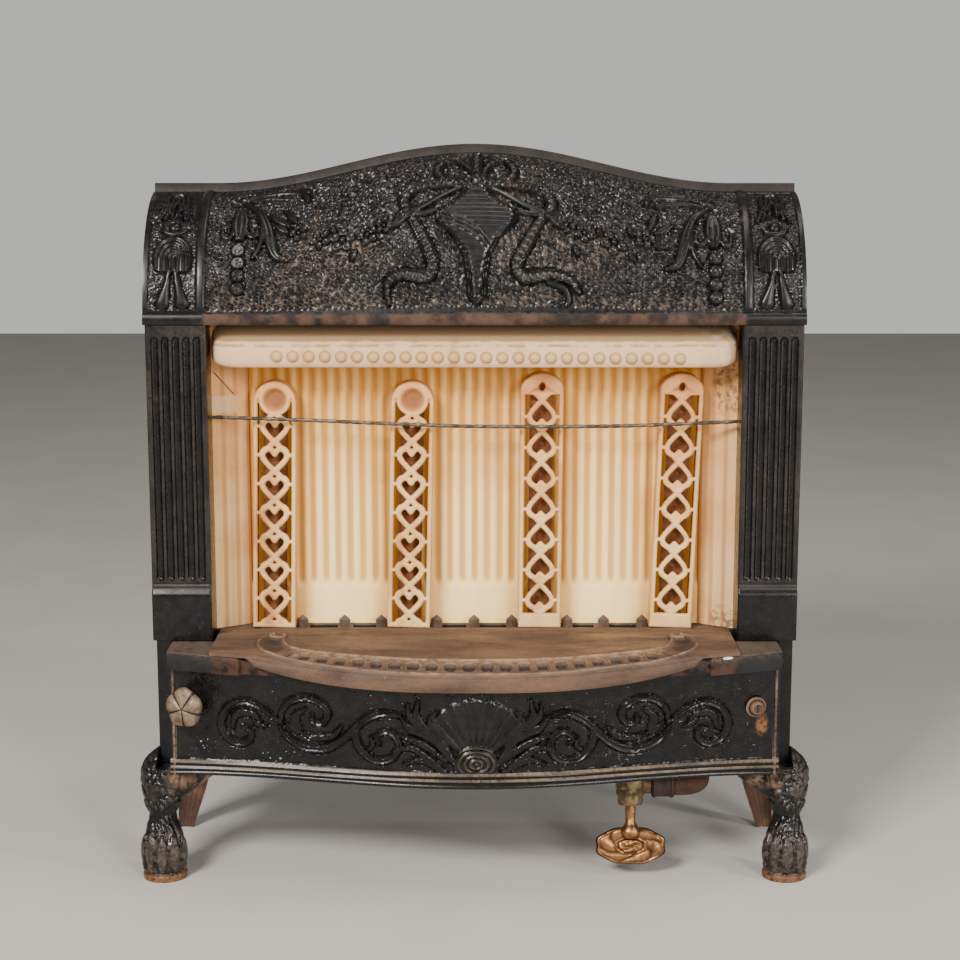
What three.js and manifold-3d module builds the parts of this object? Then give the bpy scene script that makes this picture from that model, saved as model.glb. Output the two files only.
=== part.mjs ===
// Antique gas fireplace insert: cast-iron hood, fluted pilasters, bowed hearth and apron,
// claw feet, clay radiants on a fluted clay fireback, and a key valve under the apron.
// Millimetres. +X right, +Y away from the viewer, +Z up. The origin is on the floor under
// the middle of the heater's box. Inside, Y = 0 is the face of the pilasters.

import * as THREE from 'three';
import { mergeVertices } from 'three/addons/utils/BufferGeometryUtils.js';
import Module from 'manifold-3d';

const wasm = await Module();
wasm.setup();

// Driving dimensions
const GAP = 0.4;
const HOOD_HALF = 280.5;
const HOOD_BOTTOM = 483;
const HOOD_DEPTH = 90;
const SHOULDER_HEIGHT = 599;
const CREST_RISE = 34;
const CREST_HALF = 225;
const RIM_HEIGHT = 7;
const RIM_THICK = 4;
const IRON_WALL = 5;
const HOOD_UP = 180;

const PILASTER_OUTER = 279;
const PILASTER_INNER = 227.5;
const SHAFT_BOTTOM = 256;
const PLINTH_FRONT = -2.8;
const PLINTH_TOP = 249;
const PLINTH_BOTTOM = 209;
const FLUTE_COUNT = 5;
const FLUTE_PITCH = 9;
const FRAME_OUTER = 276.4;
const FRAME_INNER = 264;
const FRAME_BOTTOM = 98;

const LEDGE_HALF = 262;
const LEDGE_TOP = 208.5;
const LEDGE_THICK = 15.5;
const LEDGE_END_Y = -39;
const BOW_DEPTH = 44;
const BOW_POWER = 2.2;
const APRON_HALF = 261.5;
const APRON_BOTTOM = 97.7;
const APRON_END_Y = -31;
const APRON_BOW = 39;

const PLATE_HALF = 224;
const PLATE_TOP = 211.5;
const PLATE_THICK = 2.8;
const PLATE_BACK = 30;
const RIM_HALF = 195;
const RIM_DROP = 12.5;
const SKIRT_BOTTOM = 184.4;

const BURNER_FRONT = 30.6;
const BURNER_BACK = 62;
const BURNER_TOP = 211;
const BURNER_BOTTOM = 190;

const FIREBACK_FRONT = 50;
const FIREBACK_BACK = 60;
const FIREBACK_HALF = 198;
const FIREBACK_TOP = 480;
const RIDGE_PITCH = 11;
const RADIANT_FRONT = 28;
const RADIANT_WIDTH = 37.4;
const RADIANT_DEPTH = 18;
const RADIANT_BASE = 211.9;

const CASING_HALF = 271.8;
const CASING_BACK = 122;
const CASING_FRONT = 34;
const CASING_TOP = 578;
const SHEET = 2.5;

const FOOT_X = 275;
const KEY_TILT = THREE.MathUtils.degToRad(13);
const KEY_AXIS_X = 136.5;
const KEY_DROP = 49.5;

// Finishes
const finish = (color, roughness, metalness) =>
  new THREE.MeshStandardMaterial({ color, roughness, metalness });
const BLACK_IRON = finish(0x1d1d1f, 0.5, 0.6);
const RUSTY_IRON = finish(0x7d5a48, 0.8, 0.4);
const CREAM_CLAY = finish(0xf2ddb2, 0.75, 0);
const PEACH_CLAY = finish(0xe8bd8c, 0.8, 0);
const SHEET_IRON = finish(0x3a3531, 0.7, 0.6);
const BRASS = finish(0xa47a45, 0.4, 0.9);
const WIRE_STEEL = finish(0x6f6a62, 0.5, 0.9);

// Solids: a closed geometry becomes a manifold solid and back
function solidOf(geometry) {
  const plain = geometry.clone();
  plain.deleteAttribute('normal');
  plain.deleteAttribute('uv');
  const merged = mergeVertices(plain, 1e-4);
  const vertProperties = new Float32Array(merged.attributes.position.array);
  const triVerts = new Uint32Array(merged.index.array);
  return new wasm.Manifold(new wasm.Mesh({ numProp: 3, vertProperties, triVerts }));
}

function geometryOf(solid) {
  const mesh = solid.getMesh();
  const geometry = new THREE.BufferGeometry();
  geometry.setAttribute('position', new THREE.Float32BufferAttribute(mesh.vertProperties, 3));
  geometry.setIndex(new THREE.Uint32BufferAttribute(mesh.triVerts, 1));
  return geometry;
}

function join(...geometries) {
  const solids = geometries.map(solidOf);
  return geometryOf(solids.reduce((sum, solid) => sum.add(solid)));
}

function cut(geometry, ...tools) {
  const solids = tools.map(solidOf);
  return geometryOf(solids.reduce((rest, tool) => rest.subtract(tool), solidOf(geometry)));
}

function mirrored(geometry) {
  const copy = geometry.clone().applyMatrix4(new THREE.Matrix4().makeScale(-1, 1, 1));
  const index = copy.index.array;
  for (let i = 0; i < index.length; i += 3) {
    [index[i], index[i + 1]] = [index[i + 1], index[i]];
  }
  return copy;
}

// Newell's normal gives the plane in which an end ring is filled with triangles
function fillRing(ring) {
  const normal = new THREE.Vector3();
  ring.forEach((p, i) => {
    const q = ring[(i + 1) % ring.length];
    normal.x += (p.y - q.y) * (p.z + q.z);
    normal.y += (p.z - q.z) * (p.x + q.x);
    normal.z += (p.x - q.x) * (p.y + q.y);
  });
  normal.normalize();
  const side = Math.abs(normal.x) < 0.9 ? new THREE.Vector3(1, 0, 0) : new THREE.Vector3(0, 1, 0);
  const u = side.cross(normal).normalize();
  const v = normal.clone().cross(u);
  const flat = ring.map((p) => new THREE.Vector2(p.dot(u), p.dot(v)));
  return THREE.ShapeUtils.triangulateShape(flat, []);
}

// Closed body through rings of equal length, turned so that its faces point out
function loft(rings) {
  const size = rings[0].length;
  const faces = [];
  for (let i = 0; i < rings.length - 1; i += 1) {
    for (let j = 0; j < size; j += 1) {
      const a = i * size + j;
      const b = i * size + ((j + 1) % size);
      faces.push(a, b, b + size, a, b + size, a + size);
    }
  }
  fillRing(rings[0]).forEach(([a, b, c]) => faces.push(a, c, b));
  const last = (rings.length - 1) * size;
  fillRing(rings[rings.length - 1]).forEach(([a, b, c]) => faces.push(a + last, b + last, c + last));
  const points = rings.flat();
  let volume = 0;
  for (let i = 0; i < faces.length; i += 3) {
    const [a, b, c] = [points[faces[i]], points[faces[i + 1]], points[faces[i + 2]]];
    volume += a.dot(b.clone().cross(c));
  }
  if (volume < 0) faces.reverse();
  const geometry = new THREE.BufferGeometry().setFromPoints(points);
  geometry.setIndex(faces);
  return geometry;
}

function box(x0, x1, y0, y1, z0, z1) {
  const geometry = new THREE.BoxGeometry(x1 - x0, y1 - y0, z1 - z0);
  return geometry.translate((x0 + x1) / 2, (y0 + y1) / 2, (z0 + z1) / 2);
}

function shapeOf(points) {
  return new THREE.Shape(points.map(([x, y]) => new THREE.Vector2(x, y)));
}

// Plan outline raised from z0 to z1
function upright(points, z0, z1) {
  const geometry = new THREE.ExtrudeGeometry(shapeOf(points), { depth: z1 - z0, bevelEnabled: false });
  return geometry.translate(0, 0, z0);
}

// Outline seen from the front, from yFront back by depth
function facing(shape, yFront, depth) {
  const geometry = new THREE.ExtrudeGeometry(shape, { depth, bevelEnabled: false });
  return geometry.rotateX(Math.PI / 2).translate(0, yFront + depth, 0);
}

// Turned piece about +Z from [radius, height] points, listed up or down the axis
function turned(profile, sides) {
  const points = profile.map(([r, z]) => new THREE.Vector2(r, z));
  if (points[0].y > points[points.length - 1].y) points.reverse();
  return new THREE.LatheGeometry(points, sides).rotateX(Math.PI / 2);
}

function between(low, high, value) {
  return THREE.MathUtils.smoothstep(value, low, high);
}

// Raised strap on a surface, through [across, up, half width] points, sampled smoothly:
// a ridge, or with flat a top that takes up that share of the width
function strap(surface, path, steps, rise, flat = 0, sink = 2.6) {
  const curve = new THREE.CatmullRomCurve3(path.map(([u, v, w]) => new THREE.Vector3(u, v, w)));
  const rings = [];
  for (let i = 0; i <= steps; i += 1) {
    const p = curve.getPoint(i / steps);
    const t = curve.getTangent(i / steps);
    const length = Math.hypot(t.x, t.y) || 1;
    const across = (f, out) => surface(p.x - (t.y / length) * p.z * f, p.y + (t.x / length) * p.z * f, out);
    const top = flat ? [across(-flat, rise), across(flat, rise)] : [across(0, rise)];
    rings.push([across(-1.1, -sink), ...top, across(1.1, -sink)]);
  }
  return loft(rings);
}

// Raised round boss on a surface
function boss(surface, u, v, radius, rise, sides, sink = 2.6) {
  const ring = (r, out) => Array.from({ length: sides }, (_, i) => {
    const angle = (i / sides) * 2 * Math.PI;
    return surface(u + r * Math.sin(angle), v + r * Math.cos(angle), out);
  });
  return loft([ring(radius * 1.06, -sink), ring(radius * 0.62, rise)]);
}

// Hood: an elliptical curve from the front edge up and back to a wavy crest
function crest(x) {
  const reach = Math.min(1, Math.abs(x) / CREST_HALF);
  return SHOULDER_HEIGHT + CREST_RISE * Math.cos((Math.PI / 2) * reach) ** 2;
}

function hoodSurface(x, up, out = 0) {
  const height = crest(x) - RIM_HEIGHT - HOOD_BOTTOM;
  const angle = (up / HOOD_UP) * (Math.PI / 2);
  const normal = new THREE.Vector3(0, -Math.cos(angle) / HOOD_DEPTH, Math.sin(angle) / height).normalize();
  const y = HOOD_DEPTH * (1 - Math.cos(angle));
  const z = HOOD_BOTTOM + height * Math.sin(angle);
  return new THREE.Vector3(x, y, z).addScaledVector(normal, out);
}

const BAND_UP = 11;
const BAND_PROUD = 2;
const HOOD_TOP_UP = 171;
const RIB_PROUD = 1.2;
const GROUND_DEPTH = -1;

function hoodOuter(x, ground) {
  const points = [
    new THREE.Vector3(x, -BAND_PROUD, HOOD_BOTTOM),
    new THREE.Vector3(x, -BAND_PROUD, HOOD_BOTTOM + 9),
  ];
  const rows = 5;
  for (let i = 0; i <= rows; i += 1) {
    points.push(hoodSurface(x, BAND_UP + ((HOOD_TOP_UP - BAND_UP) * i) / rows, ground));
  }
  const rimFront = HOOD_DEPTH - RIM_THICK;
  points.push(new THREE.Vector3(x, rimFront, crest(x) - RIM_HEIGHT + 0.4));
  points.push(new THREE.Vector3(x, rimFront, crest(x)));
  points.push(new THREE.Vector3(x, HOOD_DEPTH, crest(x)));
  return points;
}

function hoodInner(x) {
  const points = [new THREE.Vector3(x, HOOD_DEPTH, crest(x) - RIM_HEIGHT - IRON_WALL)];
  for (let up = 132; up > 0; up -= 66) points.push(hoodSurface(x, up, -IRON_WALL));
  points.push(new THREE.Vector3(x, IRON_WALL, HOOD_BOTTOM));
  return points;
}

function hoodShell() {
  const stations = [];
  const add = (x, ground) => stations.push([x, ground]);
  add(-HOOD_HALF, 0);
  add(-276.3, 0);
  add(-275.7, GROUND_DEPTH);
  add(-236.5, GROUND_DEPTH);
  add(-235.9, RIB_PROUD);
  add(-229.3, RIB_PROUD);
  add(-228.7, GROUND_DEPTH);
  const cells = 8;
  for (let i = 1; i < cells; i += 1) add(-228.7 + (2 * 228.7 * i) / cells, GROUND_DEPTH);
  stations.slice(0, 7).reverse().forEach(([x, ground]) => add(-x, ground));
  return loft(stations.map(([x, ground]) => [...hoodOuter(x, ground), ...hoodInner(x)]));
}

function hoodEnd(x0, x1) {
  return loft([x0, x1].map((x) => [
    new THREE.Vector3(x, HOOD_DEPTH, HOOD_BOTTOM),
    new THREE.Vector3(x, 2.5, HOOD_BOTTOM),
    ...[35, 80, 125].map((up) => hoodSurface(x, up, -2.5)),
    new THREE.Vector3(x, HOOD_DEPTH, crest(x) - RIM_HEIGHT - 2.5),
  ]));
}

// Ribbon bow, beaded arms, lyre and serpentine ribbons in the middle of the hood
function hoodEmblem() {
  const on = hoodSurface;
  const rise = 2.4;
  const loops = [-1, 1].map((side) => strap(on, [
    [2 + side * 3, 122, 3], [2 + side * 11, 142, 3.2], [2 + side * 24, 148, 3.2], [2 + side * 32, 130, 3.4],
    [2 + side * 24, 113, 3], [2 + side * 9, 113, 2.4], [2 + side * 2, 118, 2],
  ], 5, rise));
  const arms = [-1, 1].map((side) => strap(on, [
    [2 + side * 4, 110, 3.4], [2 + side * 29, 111, 3.8], [2 + side * 52, 107, 4], [2 + side * 61, 98, 4],
    [2 + side * 59, 84, 3.6],
  ], 3, rise));
  const tails = [-1, 1].map((side) => strap(on, [
    [2 + side * 53, 78, 3.6], [2 + side * 44, 62, 4], [2 + side * 37, 48, 4.2], [2 + side * 35.5, 39, 4],
    [2 + side * 43, 33, 4], [2 + side * 62, 35.5, 3.6], [2 + side * 77, 31, 3], [2 + side * 71, 18, 2.4],
  ], 5, rise));
  const knot = strap(on, [[2, 112, 5.5], [2, 152, 5.5]], 1, 3, 0.6);
  const lyre = strap(on, [
    [2, 110, 9], [2, 91, 18], [2, 85, 34], [2, 74, 35], [2, 58, 17], [2, 38, 9.5], [2, 13, 7],
  ], 6, 2, 0.8);
  const sash = strap(on, [[-33, 79, 4], [-6, 69, 5], [14, 53, 4]], 1, 4);
  return [...loops, ...arms, ...tails, knot, lyre, sash];
}

// Garland of flowers and leaves from the bow to each end drop
function hoodGarlands() {
  const on = hoodSurface;
  const pieces = [];
  const flower = (u, v, r) => pieces.push(boss(on, u, v, r, 2.8, 5));
  const leaf = (u0, v0, u1, v1, w) => pieces.push(strap(on, [
    [u0, v0, w * 0.6], [u1, v1, w],
  ], 1, 2));
  flower(-148, 80, 7);
  flower(-131, 71, 7.5);
  flower(-112, 68, 10);
  flower(-92, 69, 8);
  flower(-79, 77, 7);
  leaf(-176, 105, -154, 86, 4);
  leaf(-160, 108, -150, 88, 3);
  leaf(-72, 80, -60, 88, 4);
  flower(80, 77, 7);
  flower(93, 71, 7.5);
  flower(118, 67, 10.5);
  flower(143, 73, 8.5);
  leaf(64, 88, 74, 80, 3.5);
  leaf(146, 82, 154, 102, 3.5);
  leaf(150, 80, 168, 90, 3.2);
  return pieces;
}

// Ribbon, bellflower and four discs at each end of the middle panel
function hoodDrop(side) {
  const on = (u, v, out) => hoodSurface(side * u, v, out);
  const pieces = [];
  pieces.push(boss(on, 198, 132, 5, 2.4, 5));
  pieces.push(strap(on, [[195, 123, 2.4], [170, 122, 3.6], [144, 112, 2]], 2, 2));
  pieces.push(strap(on, [[195, 122, 2.4], [180, 90, 4], [172, 58, 4.4]], 2, 2.2));
  pieces.push(strap(on, [[200, 119, 3.5], [200, 99, 9], [200, 79, 4]], 2, 3));
  for (let i = 0; i < 4; i += 1) pieces.push(boss(on, 200.5, 68 - 12.3 * i, 5.8, 2.2, 4));
  return pieces;
}

// Bell, boss, fan and two flared stems on each end panel
function hoodEndOrnament(side) {
  const on = (u, v, out) => hoodSurface(side * u, v, out);
  const middle = 256;
  const pieces = [];
  pieces.push(strap(on, [[middle, 153, 4], [middle, 105, 14]], 1, 2.6));
  pieces.push(strap(on, [[middle, 94, 6], [middle, 68, 17], [middle, 46, 7]], 2, 3));
  [-1, 1].forEach((turn) => pieces.push(strap(on, [
    [middle + turn * 2.5, 48, 2], [middle + turn * 8, 20, 4.6],
  ], 1, 2)));
  return pieces;
}

function hood() {
  return join(
    hoodShell(),
    hoodEnd(-HOOD_HALF, -HOOD_HALF + IRON_WALL),
    hoodEnd(HOOD_HALF - IRON_WALL, HOOD_HALF),
    ...hoodEmblem(),
    ...hoodGarlands(),
    ...hoodDrop(-1),
    ...hoodDrop(1),
    ...hoodEndOrnament(-1),
    ...hoodEndOrnament(1),
  );
}

// Pilaster, drawn on the left: a fluted channel, a chamfered plinth and the side frame below
function channel(outer, inner, front) {
  return [
    [-outer, front], [-inner, front], [-inner, 29.6], [-inner - 4, 29.6], [-inner - 4, 6.5],
    [-outer + 4, 6.5], [-outer + 4, 60], [-outer, 60],
  ];
}

// Flute with tapered ends, cut into the front of the shaft
function flute(x) {
  return loft([[262, 0.3], [266, 1], [468, 1], [472, 0.3]].map(([z, size]) => [
    new THREE.Vector3(x - 3.4 * size, -1, z),
    new THREE.Vector3(x - 1.3 * size, 2.4 * size, z),
    new THREE.Vector3(x + 1.3 * size, 2.4 * size, z),
    new THREE.Vector3(x + 3.4 * size, -1, z),
  ]));
}

function pilaster() {
  const top = HOOD_BOTTOM - GAP;
  const shaft = upright(channel(PILASTER_OUTER, PILASTER_INNER, 0), PLINTH_BOTTOM, top);
  const middle = (PILASTER_OUTER + PILASTER_INNER) / 2;
  const flutes = Array.from({ length: FLUTE_COUNT }, (_, i) =>
    flute(-middle + FLUTE_PITCH * (i - (FLUTE_COUNT - 1) / 2)));
  const plinth = loft([PLINTH_BOTTOM, PLINTH_TOP, SHAFT_BOTTOM].map((z, i) => [
    new THREE.Vector3(-PILASTER_OUTER, i === 2 ? 0.4 : PLINTH_FRONT, z),
    new THREE.Vector3(-PILASTER_INNER, i === 2 ? 0.4 : PLINTH_FRONT, z),
    new THREE.Vector3(-PILASTER_INNER, 3, z),
    new THREE.Vector3(-PILASTER_OUTER, 3, z),
  ]));
  return join(
    cut(shaft, ...flutes),
    plinth,
    box(-FRAME_OUTER, -FRAME_INNER, 0, 4, FRAME_BOTTOM, PLINTH_BOTTOM + 2),
    box(-FRAME_OUTER, -FRAME_OUTER + 4, 0, 60, FRAME_BOTTOM, PLINTH_BOTTOM + 2),
  );
}

// Plan line of the ledge and hearth: a deep bow; the apron's foot bows less
function ledgeFront(x) {
  return LEDGE_END_Y - BOW_DEPTH + BOW_DEPTH * (Math.abs(x) / LEDGE_HALF) ** BOW_POWER;
}

function apronFoot(x) {
  const reach = Math.min(1, Math.abs(x) / APRON_HALF);
  return APRON_END_Y - APRON_BOW * Math.cos((Math.PI / 2) * reach) ** 2;
}

function apronSurface(x, z, out = 0) {
  const up = THREE.MathUtils.clamp((z - APRON_BOTTOM) / (LEDGE_TOP - LEDGE_THICK - APRON_BOTTOM), 0, 1);
  const y = THREE.MathUtils.lerp(apronFoot(x), ledgeFront(x) + 8, up);
  return new THREE.Vector3(x, y - out, z);
}

// Stations across the bow, shared so that the plate's rim and the apron under it run alike
function stations(outer) {
  const right = [...outer, RIM_HALF, 186, 172, 135, 90, 45];
  return [...right.map((x) => -x), 0, ...right.reverse()];
}

// Top of the hearth plate, which falls towards the middle of its front edge
function rimFall(x) {
  return RIM_DROP * Math.max(0, 1 - (x / RIM_HALF) ** 2) ** 0.8;
}

function plateTop(x, y) {
  return PLATE_TOP - rimFall(x) * THREE.MathUtils.clamp((-5 - y) / 78, 0, 1);
}

function apronSection(x) {
  const behind = 1 - between(RIM_HALF, RIM_HALF + 6, Math.abs(x));
  const inset = 5.8 * behind;
  const edge = ledgeFront(x) + inset;
  const shelf = (y) => plateTop(x, y) - PLATE_THICK - GAP - 2.5 * behind;
  const under = Math.min(LEDGE_TOP - LEDGE_THICK, shelf(edge) - 6.2);
  const foot = apronFoot(x);
  const at = (y, z) => new THREE.Vector3(x, y, z);
  const face = (z) => apronSurface(x, z).y;
  const moulding = [[-2.4, 0], [-3, 3.4], [-1.2, 6], [-3, 8.8], [0, 12]];
  return [
    ...moulding.map(([out, up]) => at(foot + out, APRON_BOTTOM + up)),
    at(face(150), 150),
    at(Math.max(face(under), edge + 0.2), under),
    at(edge, under + 0.1),
    at(edge, shelf(edge)),
    at(-3.2, shelf(-3.2)),
    at(-3.2, shelf(-3.2) - IRON_WALL),
    at(face(under) + IRON_WALL + 1, under + 1),
    at(face(150) + IRON_WALL, 150),
    at(foot + IRON_WALL, APRON_BOTTOM),
  ];
}

// Scrolls, volutes and a shell, drawn on the left half and mirrored
function apronScrolls(side) {
  const on = (u, z, out) => apronSurface(side * u, z, out);
  const rise = 2.2;
  return [
    strap(on, [
      [167, 147, 1.4], [182, 160, 2.2], [196, 166, 2.4], [210, 160, 2.6], [215, 147, 2.8], [211, 134, 2.8],
      [200, 128, 2.6], [191, 137, 2.2], [196, 144, 1.8],
    ], 5, rise),
    strap(on, [
      [164, 149, 1.6], [157, 164, 2.2], [144, 172, 2.4], [130, 171, 2.4], [123, 161, 2.4], [127, 152, 2.2],
      [134, 155, 1.8],
    ], 4, rise),
    strap(on, [
      [165, 148, 2], [152, 133, 3], [128, 129, 3.4], [106, 144, 3.2], [84, 160, 3], [62, 161, 2],
    ], 4, rise),
    strap(on, [
      [88, 159, 2], [98, 146, 2.6], [96, 130, 2.8], [82, 120, 2.8], [67, 126, 2.6], [65, 140, 2.4],
      [76, 147, 2.2], [84, 140, 1.8],
    ], 4, rise),
    strap(on, [[60, 150, 2], [24, 122, 4]], 1, rise),
    strap(on, [[48, 172, 2], [26, 128, 4]], 1, rise),
  ];
}

function apronShell() {
  const on = apronSurface;
  const rays = [-2, -1, 0, 1, 2].map((k) => {
    const lean = THREE.MathUtils.degToRad(20 * k);
    const tip = (length) => [1.5 + Math.sin(lean) * length, 120 + Math.cos(lean) * length];
    return strap(on, [[...tip(14), 2.4], [...tip(54 - Math.abs(k) * 3), 7]], 1, 3);
  });
  const rings = [0, 1].map((k) => strap(on, [
    [-18 + 4 * k, 118 - 6 * k, 1.6], [-10 + 2 * k, 130 - 7 * k, 2.4], [2, 135 - 8 * k, 2.6],
    [14 - 2 * k, 130 - 7 * k, 2.4], [22 - 4 * k, 118 - 6 * k, 1.6],
  ], 3, 3.6));
  return [...rays, ...rings];
}

function apron() {
  const steps = stations([LEDGE_HALF, 232, RIM_HALF + 6]);
  const ends = [-1, 1].map((side) => {
    const [x0, x1] = [side * APRON_HALF, side * (APRON_HALF - IRON_WALL)].sort((a, b) => a - b);
    return box(x0, x1, APRON_END_Y, -GAP, APRON_BOTTOM, 195);
  });
  return join(
    loft(steps.map(apronSection)),
    ...ends,
    ...apronScrolls(-1),
    ...apronScrolls(1),
    ...apronShell(),
  );
}

// Hearth plate: flat under the fire, with a dished, banded rim that bows out over the apron
function plateSection(x) {
  const front = ledgeFront(Math.min(Math.abs(x), PLATE_HALF));
  const banded = 0.12 + 0.88 * (1 - between(172, 192, Math.abs(x)));
  const skirt = 1 - between(186, 193, Math.abs(x));
  const low = THREE.MathUtils.lerp(
    PLATE_TOP - PLATE_THICK - 0.05,
    SKIRT_BOTTOM + 20 * (Math.abs(x) / RIM_HALF) ** 3,
    skirt,
  );
  const at = (y, z) => new THREE.Vector3(x, y, z);
  const top = (y) => plateTop(x, y);
  return [
    at(PLATE_BACK, PLATE_TOP - PLATE_THICK),
    at(-5, PLATE_TOP - PLATE_THICK - 0.05),
    at(front + 5.2, top(front + 5.2) - PLATE_THICK),
    at(front + 5, low - 0.02),
    at(front + 0.6, low),
    at(front + 0.2, top(front) - 1),
    at(front + 3.5, top(front) + 0.6 * banded),
    at(front + 8, top(front + 8) - 0.6 * banded),
    at(front + 10, top(front + 10) + 0.8 * banded),
    at(front + 24, top(front + 24) + 2.6 * banded),
    at(front + 29, top(front + 29) - 1 * banded),
    at(-4, PLATE_TOP),
    at(PLATE_BACK, PLATE_TOP),
  ];
}

function hearthPlate() {
  return loft(stations([PLATE_HALF]).map(plateSection));
}

// Clay lintel with round-nosed ends and a row of beads
function lintel() {
  const half = 225.3;
  const nose = 20;
  const stations = [1, 0.94, 0.8, 0.5, 0].map((f) => half - nose + nose * f);
  const all = [...stations.map((x) => -x), ...stations.reverse()];
  const body = loft(all.map((x) => {
    const reach = Math.max(0, (Math.abs(x) - half + nose) / nose);
    const back = 17 * (1 - Math.sqrt(Math.max(0, 1 - reach * reach)));
    const front = 4 + back;
    return [
      [29.4, 447], [front + 4, 445.5], [front, 449.5], [front, 463], [front + 2.5, 468],
      [28.2, 479.6], [29.4, 481.2],
    ].map(([y, z]) => new THREE.Vector3(x, y, z));
  }));
  const count = 26;
  const beads = [];
  for (let i = 0; i < count; i += 1) {
    const x = -168 + (343 * i) / (count - 1);
    beads.push(new THREE.ConeGeometry(4.8, 4, 5).rotateX(Math.PI).translate(x, 3, 454.7));
  }
  return join(body, ...beads);
}

// Clay fireback: upright ridges over a smooth foot
function fireback() {
  const points = [];
  const ridges = Math.round((2 * FIREBACK_HALF) / RIDGE_PITCH);
  const pitch = (2 * FIREBACK_HALF) / ridges;
  for (let i = 0; i < ridges; i += 1) {
    const x = -FIREBACK_HALF + pitch * i;
    points.push([x, FIREBACK_FRONT + 3], [x + pitch / 2, FIREBACK_FRONT]);
  }
  points.push([FIREBACK_HALF, FIREBACK_FRONT + 3], [FIREBACK_HALF, FIREBACK_BACK]);
  points.push([-FIREBACK_HALF, FIREBACK_BACK]);
  const foot = box(-FIREBACK_HALF, FIREBACK_HALF, FIREBACK_FRONT, FIREBACK_BACK, BURNER_TOP + GAP, 247);
  return join(upright(points, 246, FIREBACK_TOP), foot);
}

// Slanted clay cheek with three flutes, drawn on the left
function cheek() {
  const [x0, x1] = [-229.4, -FIREBACK_HALF - GAP];
  const points = [[x0, FIREBACK_BACK], [x0, 30]];
  const flutes = 3;
  for (let i = 0; i < flutes; i += 1) {
    const f = (i + 0.5) / flutes;
    const [x, y] = [x0 + (x1 - x0) * f, 30 + 20 * f];
    points.push([x - 3.4, y - 2.9], [x + 0.8, y - 0.2], [x + 3.4, y + 1.4]);
  }
  points.push([x1, FIREBACK_FRONT], [x1, FIREBACK_BACK]);
  return upright(points, BURNER_TOP + GAP, FIREBACK_TOP);
}

// Openwork clay radiant: hearts between two rails, with an upright web behind the hearts
function heartHole(x, z, turn) {
  const half = [[0, -8], [7.2, 1.6], [4.8, 7.2], [0, 4.2]];
  const other = half.slice(1, -1).reverse().map(([px, pz]) => [-px, pz]);
  return new THREE.Path([...half, ...other].map(([px, pz]) => new THREE.Vector2(x + px, z + pz * turn)));
}

function sideHole(side, z, turn) {
  const rail = RADIANT_WIDTH / 2 - 3.8;
  const points = [[rail, 7.5], [rail, -5], [5.2, 0.6]];
  return new THREE.Path(points.map(([x, dz]) => new THREE.Vector2(side * x, z + dz * turn)));
}

function archOutline(width, top, pointed, base) {
  const half = width / 2;
  const points = [[-half, base], [half, base]];
  const steps = 5;
  for (let i = 0; i <= steps; i += 1) {
    const angle = (i / steps) * Math.PI;
    const squash = pointed ? 0.75 : 1;
    points.push([half * Math.cos(angle), top - half * squash + half * squash * Math.sin(angle)]);
  }
  return points;
}

function radiant({ x, hearts, pitch, first, turn, height, lean }) {
  const base = RADIANT_BASE;
  const top = base + height;
  const front = shapeOf(archOutline(RADIANT_WIDTH, top, turn < 0, base));
  for (let i = 0; i < hearts; i += 1) {
    const z = first - pitch * i;
    front.holes.push(heartHole(0, z, turn));
    if (i < hearts - 1) {
      [-1, 1].forEach((side) => front.holes.push(sideHole(side, z - pitch / 2, turn)));
    }
  }
  if (turn > 0) {
    const cup = Array.from({ length: 7 }, (_, i) => {
      const angle = (i / 7) * 2 * Math.PI;
      return new THREE.Vector2(8.6 * Math.cos(angle), top - 15 + 8.6 * Math.sin(angle));
    });
    front.holes.push(new THREE.Path(cup));
  }
  const wall = shapeOf(archOutline(RADIANT_WIDTH, top, turn < 0, base));
  const inside = archOutline(RADIANT_WIDTH - 7, top - 3.5, turn < 0, base + 5);
  wall.holes.push(new THREE.Path(inside.map(([px, pz]) => new THREE.Vector2(px, pz))));
  const web = box(-10.2, 10.2, 11, 14, base + 2, top - 3);
  const body = join(facing(front, 0, 5), facing(wall, 4, RADIANT_DEPTH - 4), web);
  body.translate(0, 0, -base);
  return { geometry: body, x, lean, base };
}

const RADIANTS = [
  { x: -177, hearts: 7, pitch: 25.6, first: 388.5, turn: 1, height: 219, lean: 1.1 },
  { x: -58.4, hearts: 7, pitch: 25.6, first: 388.5, turn: 1, height: 219, lean: 1.3 },
  { x: 57, hearts: 7, pitch: 27.2, first: 403, turn: -1, height: 226, lean: 0.4 },
  { x: 172.4, hearts: 7, pitch: 27.2, first: 403, turn: -1, height: 226, lean: 2 },
];

// Cast burner trough with slots and round locating lugs
function burner() {
  const half = CASING_HALF - SHEET - 0.6;
  const trough = cut(
    box(-half, half, BURNER_FRONT, BURNER_BACK, BURNER_BOTTOM, BURNER_TOP),
    box(-half + 5, half - 5, BURNER_FRONT + 4, BURNER_BACK - 4, BURNER_BOTTOM - 1, BURNER_TOP - 4),
    ...[-146.5, -108, -32.5, 4, 80.8, 118.5].map((x) => box(x, x + 25, 33.5, 46, 200, 220)),
  );
  const lugs = [-152.5, -115.3, -82.7, -33.8, -0.7, 32.7, 81.6, 114, 148].map((x) =>
    turned([[0, 209], [5.2, 209], [5.2, 218], [0, 222]], 5).translate(x, 39, 0));
  return join(trough, ...lugs);
}

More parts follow.
